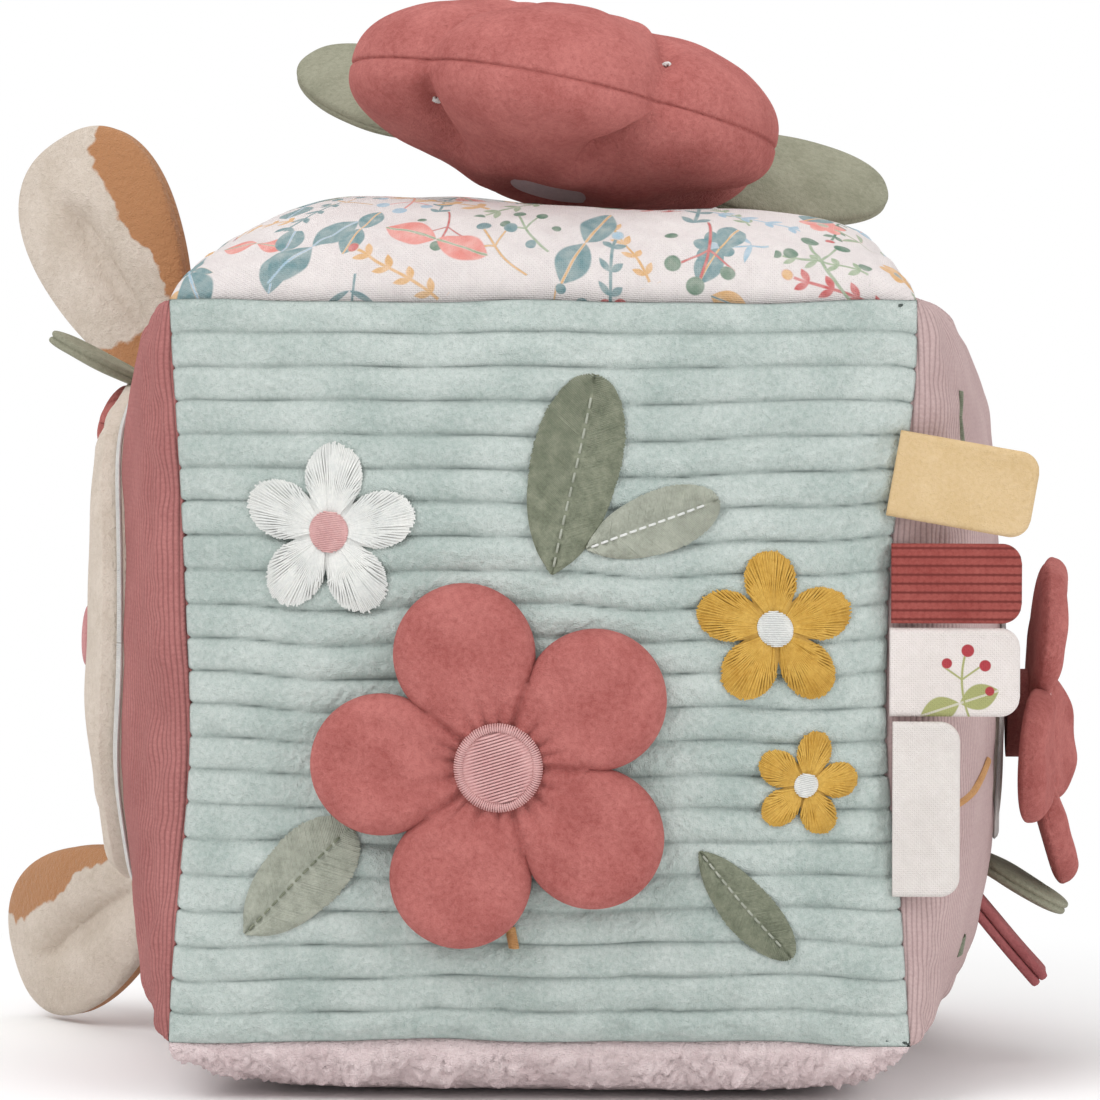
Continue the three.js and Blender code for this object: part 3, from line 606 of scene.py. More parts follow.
class Effects:
    """Shader node groups that several finishes share, each built once."""

    def __init__(self) -> None:
        """Builds nothing until an effect is asked for."""
        self.made: dict[str, bpy.types.NodeTree] = {}
        self.cloths: dict[str, bpy.types.Material] = {}

    def get(self, name: str) -> bpy.types.NodeTree:
        """The group of an effect, built the first time."""
        if name not in self.made:
            self.made[name] = getattr(self, name)()
        return self.made[name]

    def pile(self) -> bpy.types.NodeTree:
        """Short pile: brushed patches, clumps and single fibres."""
        tree, graph, start, end = shader_group("pile", {"Clump": 1.5, "Patch": 12.0}, ("Shade", "Height"))
        vector = start.outputs["Vector"]
        clump_scale, patch_scale = (graph.math("DIVIDE", 1 / MM, start.outputs[size]) for size in ("Clump", "Patch"))
        patches = graph.spread(graph.noise(vector, patch_scale, 3.0), 0.34, 0.66)
        clumps = graph.noise(vector, clump_scale, 3.0)
        fibres = graph.noise(vector, graph.math("MULTIPLY", clump_scale, 4.0), 1.0)
        shade = graph.math("MULTIPLY_ADD", patches, 0.22, graph.math("MULTIPLY", clumps, 0.5))
        graph.feed(end.inputs["Shade"], graph.math("MULTIPLY_ADD", fibres, 0.28, shade))
        graph.feed(end.inputs["Height"], graph.math("MULTIPLY_ADD", fibres, 0.35, clumps))
        return tree

    def weave(self) -> bpy.types.NodeTree:
        """Plain weave: threads over and under each other, on the piece's own UV map."""
        tree, graph, start, end = shader_group("weave", {"Pitch": 0.5}, ["Height"])
        step = graph.math("DIVIDE", math.pi / MM, start.outputs["Pitch"])
        x, y = graph.axes(start.outputs["Vector"], step)
        over = x.sin() * y.sin()
        height = abs(x.cos()) * 0.5 + abs(y.cos()) * 0.5 + over * 0.25
        graph.feed(end.inputs["Height"], height.socket)
        return tree

    def ribs(self) -> bpy.types.NodeTree:
        """Fine knitted ribs on the piece's own UV map, with loops along each rib; Groove marks where shade is
        painted.
        """
        tree, graph, start, end = shader_group("ribs", {"Pitch": 1.3, "Upright": 1.0}, ("Height", "Groove"))
        upright = Field(graph, start.outputs["Upright"])
        x, y = graph.axes(start.outputs["Vector"])
        step = Field(graph, graph.math("DIVIDE", math.pi / MM, start.outputs["Pitch"]))
        across = (x * upright + y * (1 - upright)) * step
        along = (y * upright + x * (1 - upright)) * step
        wave = abs(across.sin())
        loops = abs((along * 1.3 + across.cos() * 0.4).sin()) * 0.35 + 0.65
        graph.feed(end.inputs["Height"], (wave * loops).socket)
        # Groove: the low parts between ribs, which the materials darken as painted shade.
        graph.feed(end.inputs["Groove"], ((wave * loops) * -1.8 + 1).most(wave * 0).socket)
        return tree

    def sprout(self) -> bpy.types.NodeTree:
        """One printed sprig with berries and two leaves, on the piece's own UV map."""
        tree, graph, start, end = shader_group("sprout", {"Size": 20.0}, ("Berries", "Green"))
        across, up = graph.axes(start.outputs["Vector"], graph.math("DIVIDE", 1 / MM, start.outputs["Size"]))
        x, y = across - 0.52, up + 0.06
        berries, stalk = self.berries(x, y)
        leaf, rib = self.leaf_pair((x + 0.02) * 0.9 + (y + 0.2) * 0.3, (y + 0.2) * 0.9 - x * 0.3)
        graph.feed(end.inputs["Berries"], berries.socket)
        graph.feed(end.inputs["Green"], stalk.most(leaf).most(rib * 0.4).socket)
        return tree

    def motifs(self) -> bpy.types.NodeTree:
        """Scattered printed sprigs, flowers, berries and leaves, one to a cell."""
        tree, graph, start, end = shader_group("motifs", {"Cell": 15.0}, ("Color", "Mask"))
        scale = graph.math("DIVIDE", 1 / MM, start.outputs["Cell"])
        spot = graph.add("ShaderNodeVectorMath", {0: start.outputs["Vector"], "Scale": scale}, operation="SCALE")
        cells = graph.add(
            "ShaderNodeTexVoronoi", {"Vector": spot.outputs[0], "Scale": 1.0, "Randomness": 0.42},
            voronoi_dimensions="2D"
        )
        ends = {0: spot.outputs[0], 1: cells.outputs["Position"]}
        away = graph.add("ShaderNodeVectorMath", ends, operation="SUBTRACT")
        drawn = graph.add("ShaderNodeSeparateColor", {"Color": cells.outputs["Color"]})
        turn = Field(graph, drawn.outputs[0]) * (2 * math.pi)
        across, up = graph.axes(away.outputs[0], 0.8)
        x, y = across * turn.cos() + up * turn.sin(), up * turn.cos() - across * turn.sin()
        kind = Field(graph, drawn.outputs[1])
        masks = [self.sprig(x, y), self.bloom(x, y), self.berries(x, y), self.leaf_pair(x, y)]
        limits = (0.0, 0.36, 0.58, 0.78, 1.01)
        whole, second = None, None
        for (first, extra), low, high in zip(masks, limits, limits[1:]):
            chosen = (kind - low).mask(1e4).least((high - kind).mask(1e4))
            shown, accent = first * chosen, extra * chosen
            whole = shown if whole is None else whole.most(shown)
            second = accent if second is None else second.most(accent)
        ink = graph.mix(second.socket, *(self.inks(graph, drawn.outputs[2], shift) for shift in (0.0, 0.45)))
        wash = graph.noise(spot.outputs[0], 9.0, 2.0)
        pale = graph.mix(graph.spread(wash, 0.3, 0.75), ink, tone(235, 226, 220))
        graph.feed(end.inputs["Color"], graph.mix(0.3, ink, pale))
        graph.feed(end.inputs["Mask"], whole.most(second).socket)
        return tree

    @staticmethod
    def inks(graph: Graph, draw: object, shift: float) -> bpy.types.NodeSocket:
        """Colour of a motif, picked by its cell's draw and shifted round the palette."""
        ramp = graph.add("ShaderNodeValToRGB")
        ramp.color_ramp.interpolation = "CONSTANT"
        palette = (
            tone(108, 138, 142), tone(188, 96, 96), tone(142, 160, 132), tone(150, 178, 196), tone(206, 162, 112),
            tone(92, 122, 104), tone(214, 136, 128)
        )
        stops = ramp.color_ramp.elements
        for index, colour in enumerate(palette):
            stop = stops[index] if index < len(stops) else stops.new(index / len(palette))
            stop.position = index / len(palette)
            stop.color = colour
        graph.feed(ramp.inputs["Fac"], graph.math("FRACT", graph.math("ADD", draw, shift)))
        return ramp.outputs["Color"]

    @staticmethod
    def sprig(x: Field, y: Field) -> tuple[Field, Field]:
        """A stem with four pairs of leaves, and a bud at its tip."""
        bow = y - (x * 5.0).sin() * 0.035
        inside = 0.36 - abs(x)
        stem = (0.012 - abs(bow)).least(inside).mask(120)
        step = ((x + 0.36) * (1 / 0.18)).fraction() - 0.35
        run = step * 0.18
        side = abs(bow)
        along = (run + side) * 0.707
        off = abs(side - run) * 0.707
        share = along * (1 / 0.125)
        leaf = (share * (1 - share) * 0.11 - off).least(inside + 0.03).mask(100)
        tip = 0.0018 - ((x - 0.41) * (x - 0.41) + bow * bow)
        return stem.most(leaf), tip.mask(900)

    @staticmethod
    def bloom(x: Field, y: Field) -> tuple[Field, Field]:
        """A round-petalled flower with two leaves on a short stem."""
        up = y - 0.08
        reach = (x * x + up * up).root()
        lobes = abs((up.angle_to(x) * 3.0).cos()) * 0.055 + 0.125
        petals = (lobes - reach).mask(110)
        eye = (0.045 - reach).mask(140)
        stem = (0.011 - abs(x - up * 0.1)).least(-0.1 - up).least(y + 0.38).mask(120)
        share = abs(x) * (1 / 0.2)
        leaf = (share * (1 - share) * 0.12 - abs(y + 0.24 - abs(x) * 0.5)).mask(100)
        green = stem.most(leaf)
        return petals * (1 - eye), green.most(eye * 0.8)

    @staticmethod
    def berries(x: Field, y: Field) -> tuple[Field, Field]:
        """Berries on a forked stem."""
        dots = None
        for dot_x, dot_y, size in ((0.2, 0.12, 0.05), (0.05, 0.25, 0.055), (-0.13, 0.14, 0.045), (0.24, -0.1, 0.04)):
            away = ((x - dot_x) * (x - dot_x) + (y - dot_y) * (y - dot_y)).root()
            dot = (size - away).mask(130)
            dots = dot if dots is None else dots.most(dot)
        stem = (0.01 - abs(x - y * y * 0.6)).least(0.27 - abs(y + 0.06)).mask(120)
        fork = (0.01 - abs(y - abs(x) * 0.7)).least(0.17 - abs(x)).mask(120)
        return dots, stem.most(fork) * (1 - dots)

    @staticmethod
    def leaf_pair(x: Field, y: Field) -> tuple[Field, Field]:
        """Two pointed leaves end to end, with bare midribs."""
        share = abs(x) * (1 / 0.34)
        body = share * (1 - share) * 0.42
        leaf = (body - abs(y)).mask(90)
        rib = (0.008 - abs(y)).mask(140)
        return leaf * (1 - rib), rib * leaf


class Cloth(Enum):
    """Kinds of surface."""

    CORDUROY = "corduroy"
    PILE = "pile"
    RIB = "rib"
    TAPE = "tape"
    TEDDY = "teddy"
    WOVEN = "woven"
    PRINTED = "printed"
    THREAD = "thread"
    LABEL = "label"


@dataclass(frozen=True)
class Finish:
    """One fabric: its colours, how deep and how coarse its surface is, and how it shines."""

    name: str
    slot: str
    cloth: Cloth
    colour: Colour
    shade: Colour
    clump: float = 1.4
    patch: float = 14.0
    relief: float = 0.35
    roughness: float = 0.95
    sheen: float = 0.25
    second: Colour | None = None

    def material(self, effects: Effects) -> bpy.types.Material:
        """The fabric's material, made the first time it is asked for."""
        if self.name in effects.cloths:
            return effects.cloths[self.name]
        material = effects.cloths[self.name] = bpy.data.materials.new(self.name)
        graph = fresh(material)
        surface = {
            "Roughness": self.roughness, "Sheen Weight": self.sheen, "Sheen Roughness": 0.5,
            "Sheen Tint": tone(*self.colour), "Specular IOR Level": 0.35 if self.cloth is Cloth.THREAD else 0.15
        }
        place = graph.add("ShaderNodeTexCoord")
        spot = place.outputs["Object"]
        pile = self.group(graph, effects, "pile", Vector=spot, Clump=self.clump, Patch=self.patch)
        colour = graph.mix(graph.spread(pile.outputs["Shade"], 0.3, 0.7), tone(*self.shade), tone(*self.colour))
        height = pile.outputs["Height"]
        if self.cloth in (Cloth.CORDUROY, Cloth.TEDDY):
            # Painted shade: hollows between corduroy wales and teddy curls (the deep attribute) darken to the shadow
            # colour.
            deep = graph.add("ShaderNodeAttribute", attribute_name="deep").outputs["Fac"]
            colour = graph.mix(deep, colour, self.shadow())
        if self.cloth in (Cloth.RIB, Cloth.TAPE):
            panel = self.cloth is Cloth.RIB
            sizes = {"Pitch": 1.25 if panel else 1.77, "Upright": 1.0 if panel else 0.0}
            ribs = self.group(graph, effects, "ribs", Vector=place.outputs["UV"], **sizes)
            # Painted shade: grooves between the knitted ribs darken to the shadow colour.
            depth = graph.math("MULTIPLY", ribs.outputs["Groove"], 0.7 if panel else 1.4, clamp=True)
            colour = graph.mix(depth, colour, self.shadow())
            height = graph.math("MULTIPLY_ADD", height, 0.2, ribs.outputs["Height"])
        if self.second:
            patch = graph.add("ShaderNodeAttribute", attribute_name="patch").outputs["Fac"]
            frayed = graph.math("MULTIPLY_ADD", pile.outputs["Shade"], 0.7, patch)
            colour = graph.mix(graph.spread(frayed, 0.72, 0.98), colour, tone(*self.second))
        if self.cloth in (Cloth.WOVEN, Cloth.PRINTED, Cloth.LABEL):
            own = place.outputs["UV"]
            weave = self.group(graph, effects, "weave", Vector=own, Pitch=0.42)
            height = graph.math("MULTIPLY_ADD", height, 0.3, weave.outputs["Height"])
            if self.cloth is Cloth.PRINTED:
                for cell, shift in ((19.0, (0.043, 0.017, 0)), (22.0, (0.011, 0.037, 0)), (27.0, (0, 0, 0))):
                    moved = graph.add("ShaderNodeVectorMath", {0: own, 1: shift}, operation="ADD").outputs[0]
                    motifs = self.group(graph, effects, "motifs", Vector=moved, Cell=cell)
                    colour = graph.mix(motifs.outputs["Mask"], colour, motifs.outputs["Color"])
            if self.cloth is Cloth.LABEL:
                sprout = self.group(graph, effects, "sprout", Vector=own, Size=23.0)
                colour = graph.mix(sprout.outputs["Green"], colour, tone(158, 160, 108))
                colour = graph.mix(sprout.outputs["Berries"], colour, tone(166, 66, 72))
        bump = graph.add("ShaderNodeBump", {"Strength": 1.0, "Distance": self.relief * MM, "Height": height})
        surface |= {"Base Color": colour, "Normal": bump.outputs["Normal"]}
        shader = graph.add("ShaderNodeBsdfPrincipled", surface)
        graph.add("ShaderNodeOutputMaterial", {"Surface": shader.outputs[0]})
        return material

    def shadow(self) -> tuple[float, float, float, float]:
        """Painted shade colour for the hollows between ribs or curls."""
        return tuple(part * 0.62 for part in tone(*self.shade)[:3]) + (1.0,)

    @staticmethod
    def group(graph: Graph, effects: Effects, name: str, **inputs: object) -> bpy.types.Node:
        """Places a shared effect in a material, with its own values."""
        return graph.add("ShaderNodeGroup", inputs, node_tree=effects.get(name))


def thread(
    name: str, slot: str, colour: Colour, shade: Colour, patch: float = 5.0, roughness: float = 0.45
) -> Finish:
    """Finish of an embroidery thread."""
    return Finish(name, slot, Cloth.THREAD, colour, shade, 0.8, patch, 0.1, roughness, 0.1)


CORDUROY = Finish("mint_corduroy", "corduroy", Cloth.CORDUROY, (197, 205, 201), (160, 174, 169), 1.0, 16.0, 0.6)
PRINT = Finish(
    "printed_cotton", "printed_cotton", Cloth.PRINTED, (220, 213, 211), (208, 200, 199), 3.0, 30.0, 0.12, 0.85, 0.05
)
ROSE_RIB = Finish("rose_rib_knit", "rose_rib", Cloth.RIB, (178, 119, 116), (154, 98, 96), 0.9, 18.0, 0.3, 0.9, 0.15)
PINK_RIB = Finish("pink_rib_knit", "pink_rib", Cloth.RIB, (194, 170, 168), (176, 151, 150), 0.9, 18.0, 0.2, 0.9, 0.15)
TEDDY = Finish("pink_teddy", "teddy", Cloth.TEDDY, (232, 215, 215), (214, 192, 193), 1.2, 12.0, 0.9, 1.0, 0.3)
COTTON = Finish(
    "cream_cotton", "plain_cotton", Cloth.WOVEN, (222, 212, 202), (210, 198, 186), 3.0, 30.0, 0.12, 0.9, 0.05
)
FIBRE = Finish("white_fibre", "fibre", Cloth.PILE, (232, 230, 226), (214, 212, 208), 2.5, 20.0, 0.8)
CORAL = Finish("coral_plush", "coral_plush", Cloth.PILE, (184, 114, 109), (152, 84, 80), 1.1, 11.0, 0.45, 0.9, 0.35)
SATIN = thread("pale_pink_thread", "pale_satin", (214, 172, 170), (198, 150, 149), 6.0, 0.8)
WHITE_THREAD = thread("white_thread", "white_stitch", (226, 226, 222), (204, 206, 204), 6.0)
MUSTARD = thread("mustard_thread", "mustard_stitch", (208, 168, 82), (178, 134, 50))
DARK_GREEN = thread("dark_green_thread", "dark_green_stitch", (136, 140, 121), (98, 104, 86), 3.0)
LIGHT_GREEN = thread("light_green_thread", "light_green_stitch", (170, 173, 160), (138, 142, 129), 3.0)
ORANGE = thread("orange_thread", "orange_stitch", (196, 150, 100), (176, 128, 80))
ROSE_THREAD = thread("rose_thread", "mustard_stitch", (168, 96, 96), (146, 78, 80))
DARK_THREAD = thread("dark_thread", "brown_plush", (86, 66, 58), (66, 50, 44), 5.0, 0.5)
SILVER = thread("silver_thread", "white_stitch", (214, 212, 208), (192, 190, 188), 5.0, 0.35)
YELLOW = Finish("yellow_plush", "yellow_plush", Cloth.PILE, (209, 183, 144), (196, 168, 124), 0.9, 9.0, 0.3, 0.9, 0.3)
RED_TAPE = Finish("red_tape", "red_rib", Cloth.TAPE, (158, 86, 80), (136, 66, 62), 0.8, 10.0, 0.3, 0.85, 0.15)
TAPE = Finish("white_tape", "white_tape", Cloth.WOVEN, (218, 212, 208), (208, 201, 197), 1.5, 14.0, 0.12, 0.8, 0.1)
ROSE_TAPE = Finish("rose_tape", "rose_tape", Cloth.PILE, (170, 104, 104), (148, 84, 86), 0.8, 8.0, 0.2, 0.9, 0.2)
SAGE = Finish("sage_plush", "sage_plush", Cloth.PILE, (150, 149, 131), (126, 126, 108), 1.0, 9.0, 0.35, 0.9, 0.3)
CREAM = Finish("cream_plush", "cream_plush", Cloth.PILE, (207, 195, 183), (189, 176, 162), 1.4, 10.0, 0.5, 0.95, 0.35)
BROWN = Finish("brown_plush", "brown_plush", Cloth.PILE, (174, 126, 90), (148, 100, 66), 1.4, 9.0, 0.5, 0.95, 0.3)
EAR = Finish(
    "ear_plush", "cream_plush", Cloth.PILE, (208, 196, 184), (188, 175, 161), 1.4, 10.0, 0.6, 0.95, 0.35,
    (170, 122, 86)
)
FELT = Finish("pale_felt", "pale_satin", Cloth.PILE, (196, 178, 180), (178, 160, 164), 1.0, 8.0, 0.3, 0.95, 0.2)
PRINTED_TAPE = Finish(
    "printed_tape", "white_tape", Cloth.LABEL, (222, 214, 211), (212, 204, 200), 1.5, 14.0, 0.12, 0.8, 0.1
)
NOSE = Finish("nose_pink", "nose_pink", Cloth.PILE, (196, 142, 142), (178, 122, 124), 0.9, 6.0, 0.25, 0.8, 0.2)


# Threads


class Threads:
    """Embroidery thread laid along paths by one geometry node tree."""

    def __init__(self) -> None:
        """Builds the tree that turns edges into round closed threads."""
        self.tree = bpy.data.node_groups.new("lay_threads", "GeometryNodeTree")
        face = self.tree.interface
        face.new_socket("Geometry", in_out="INPUT", socket_type="NodeSocketGeometry")
        self.radius = face.new_socket("Thread radius", in_out="INPUT", socket_type="NodeSocketFloat")
        self.sides = face.new_socket("Thread sides", in_out="INPUT", socket_type="NodeSocketInt")
        self.finish = face.new_socket("Finish", in_out="INPUT", socket_type="NodeSocketMaterial")
        face.new_socket("Geometry", in_out="OUTPUT", socket_type="NodeSocketGeometry")
        graph = Graph(self.tree)
        start, end = graph.add("NodeGroupInput"), graph.add("NodeGroupOutput")
        path = graph.add("GeometryNodeMeshToCurve", {"Mesh": start.outputs["Geometry"]})
        size = {"Resolution": start.outputs["Thread sides"], "Radius": start.outputs["Thread radius"]}
        profile = graph.add("GeometryNodeCurvePrimitiveCircle", size, mode="RADIUS")
        sweep = {"Curve": path.outputs[0], "Profile Curve": profile.outputs["Curve"], "Fill Caps": True}
        body = graph.add("GeometryNodeCurveToMesh", sweep)
        real = graph.add("GeometryNodeRealizeInstances", {"Geometry": body.outputs[0]})
        dress = {"Geometry": real.outputs[0], "Material": start.outputs["Finish"]}
        graph.feed(end.inputs["Geometry"], graph.add("GeometryNodeSetMaterial", dress).outputs[0])

    def lay(
        self, name: str, paths: Iterable[Array], radius: float, material: bpy.types.Material, sides: int = 5
    ) -> bpy.types.Object:
        """Makes one piece of threads.

        Args:
            name: the piece's name.
            paths: each thread's points, in millimetres.
            radius: the thread's radius, in millimetres.
            material: its finish.
            sides: how many sides a thread has.

        Returns:
            The new object, a plain mesh.
        """
        points: list[list[float]] = []
        edges: list[tuple[int, int]] = []
        for path in paths:
            first = len(points)
            points.extend((np.asarray(path) * MM).tolist())
            edges.extend((index, index + 1) for index in range(first, len(points) - 1))
        lines = bpy.data.meshes.new(f"{name}_paths")
        lines.from_pydata(points, edges, [])
        piece = link(name, lines)
        modifier = piece.modifiers.new("threads", "NODES")
        modifier.node_group = self.tree
        modifier[self.radius.identifier] = radius * MM
        modifier[self.sides.identifier] = sides
        modifier[self.finish.identifier] = material
        graph = bpy.context.evaluated_depsgraph_get()
        made = bpy.data.meshes.new_from_object(piece.evaluated_get(graph), depsgraph=graph)
        piece.modifiers.clear()
        piece.data = made
        made.name = name
        made.materials.clear()
        made.materials.append(material)
        made.polygons.foreach_set("use_smooth", np.ones(len(made.polygons), bool))
        bpy.data.meshes.remove(lines)
        return piece


def arched(start: Array, end: Array, place: Place, low: float, high: float, points: int = 5) -> Array:
    """One stitch over a pad, arched between its ends.

    Args:
        start, end: the stitch's ends, as x and y.
        place: turns x, y and height into points.
        low, high: its height at its ends and at its middle.
        points: points along it.

    Returns:
        The stitch's points.
    """
    share = np.linspace(0, 1, points)
    x = start[0] + (end[0] - start[0]) * share
    y = start[1] + (end[1] - start[1]) * share
    return place(x, y, low + (high - low) * np.sin(math.pi * share) ** 0.6)


# The object


@dataclass
class Workshop:
    """What every maker shares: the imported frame, the shader effects and the threads."""

    frame: dict
    effects: Effects
    threads: Threads
    pieces: list[bpy.types.Object] = field(default_factory=list)

    def cloth(self, finish: Finish) -> bpy.types.Material:
        """Material of a finish."""
        return finish.material(self.effects)

    def hinge(self, joint: str) -> Triple:
        """A joint's place, in millimetres."""
        found = next(row for row in self.frame["joints"] if row["name"] == joint)
        return tuple(part / MM for part in found["pos_m"])

    @staticmethod
    def inflate(piece: bpy.types.Object, cap: float = 1.5, pressure: float = 4.0) -> None:
        """Lets a closed piece's cloth settle under the pressure of its stuffing, then smooths it once.

        Args:
            piece: the piece.
            cap: how far a point may move, in millimetres.
            pressure: the stuffing's pressure.
        """
        points = piece.data.vertices
        before, after = np.empty((2, len(points) * 3))
        points.foreach_get("co", before)
        cloth = piece.modifiers.new("cloth", "CLOTH")
        cloth.settings.quality = 5
        cloth.settings.use_pressure = True
        cloth.settings.uniform_pressure_force = pressure
        cloth.settings.effector_weights.gravity = 0
        cloth.collision_settings.use_collision = False
        cloth.point_cache.frame_start = 1
        cloth.point_cache.frame_end = CLOTH_FRAMES
        for step in range(1, CLOTH_FRAMES + 1):
            bpy.context.scene.frame_set(step)
        settled = piece.evaluated_get(bpy.context.evaluated_depsgraph_get())
        settled.data.vertices.foreach_get("co", after)
        piece.modifiers.remove(cloth)
        bpy.context.scene.frame_set(1)
        move = (after - before).reshape(-1, 3)
        far = np.linalg.norm(move, axis=1, keepdims=True)
        move *= np.minimum(1, cap * MM / np.maximum(far, 1e-9))
        points.foreach_set("co", before + move.ravel())
        smooth = piece.modifiers.new("smooth", "SUBSURF")
        smooth.levels = 1
        graph = bpy.context.evaluated_depsgraph_get()
        seen = piece.evaluated_get(graph)
        finer = bpy.data.meshes.new_from_object(seen, preserve_all_data_layers=True, depsgraph=graph)
        piece.modifiers.remove(smooth)
        piece.data = finer

    def pad(
        self, name: str, outline: Array, shares: Sequence[float], place: Place, upper: Place, lower: Place,
        finish: Finish, nodes: Sequence[str] = (), fill: float | None = None, body: str = "block"
    ) -> None:
        """Makes a pad whose outline shrinks ring by ring to its middle, and hands it over.

        Args:
            name, finish, nodes, fill, body: as for settle.
            outline: points round the pad, as rows of x and y.
            shares: how much of the outline each ring keeps, from 1 inwards.
            place: turns x, y and height into points.
            upper, lower: heights of the two faces at x, y and a share of the outline.
        """
        x, y, share, uv = ringed(outline, shares)
        points = np.vstack([place(x, y, face(x, y, share)) for face in (upper, lower)])
        piece = make_piece(name, points, ring_faces(len(shares), len(outline)), self.cloth(finish), uv)
        self.settle(piece, body, finish.slot, nodes, fill)

    def stitch(
        self, name: str, paths: Iterable[Array], radius: float, finish: Finish, body: str = "block", slot: str = ""
    ) -> None:
        """Lays threads along paths and hands them over as one piece.

        Args:
            name, paths, radius: as for the threads.
            finish: their thread.
            body: the body that they move with.
            slot: their slot, where it isn't the finish's own.
        """
        self.settle(self.threads.lay(name, paths, radius, self.cloth(finish)), body, slot or finish.slot)

    def hang(
        self, piece: bpy.types.Object, moving: str, stand: Stand, reach: tuple[float, float], finish: Finish,
        nodes: Sequence[str], fill: float | None = None, parent: str = "block"
    ) -> None:
        """Hands over a piece that sits at its stand's origin between one body and another, baked in place without a
        parent.

        Args:
            piece, nodes, fill: as for settle.
            moving, parent: the body that it would bend towards and the one that would hold it; not used.
            stand: its frame.
            reach: where the bend starts and ends along the frame's X.
            finish: its fabric.
        """
        start, end = (tuple(stand.place(step, 0.0, 0.0)) for step in reach)
        self.settle(piece, parent, finish.slot, nodes, fill, (moving, start, end))

    def settle(
        self, piece: bpy.types.Object, body: str, slot: str, nodes: Sequence[str] = (), fill: float | None = None,
        bend: tuple[str, Triple, Triple] | None = None
    ) -> None:
        """Hands a finished piece to the frame.

        Args:
            piece: the piece.
            body: the body that it moves with.
            slot: the record's material slot; not used.
            nodes: the CAD nodes that it stands for.
            fill: how full it is stuffed, from 0 to 1, or None where it isn't a pad; not used.
            bend: the moving body, with the points where the bend starts and ends in millimetres, or None
            where it moves with one body; where it is given, the piece is baked in place without a parent,
            and the body and points are not used.
        """
        if nodes:
            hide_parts(*nodes)
        if bend is None:
            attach(piece, body)
        else:
            moving, start, end = bend
            tuple(part * MM for part in start)
            tuple(part * MM for part in end)
            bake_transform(piece)
        self.pieces.append(piece)
        LOG.info("%s: %d faces", piece.name, len(piece.data.polygons))


@dataclass(frozen=True)
class Side:
    """One side of the block: its directions, how high it swells and how broad its middle is."""

    name: str
    out: Triple
    across: Triple
    up: Triple
    crown: float
    breadth: float = 2.0
    fullness: float = 0.5
    draw: float = 5.0
    dent: float = 0.0
    stands: bool = False


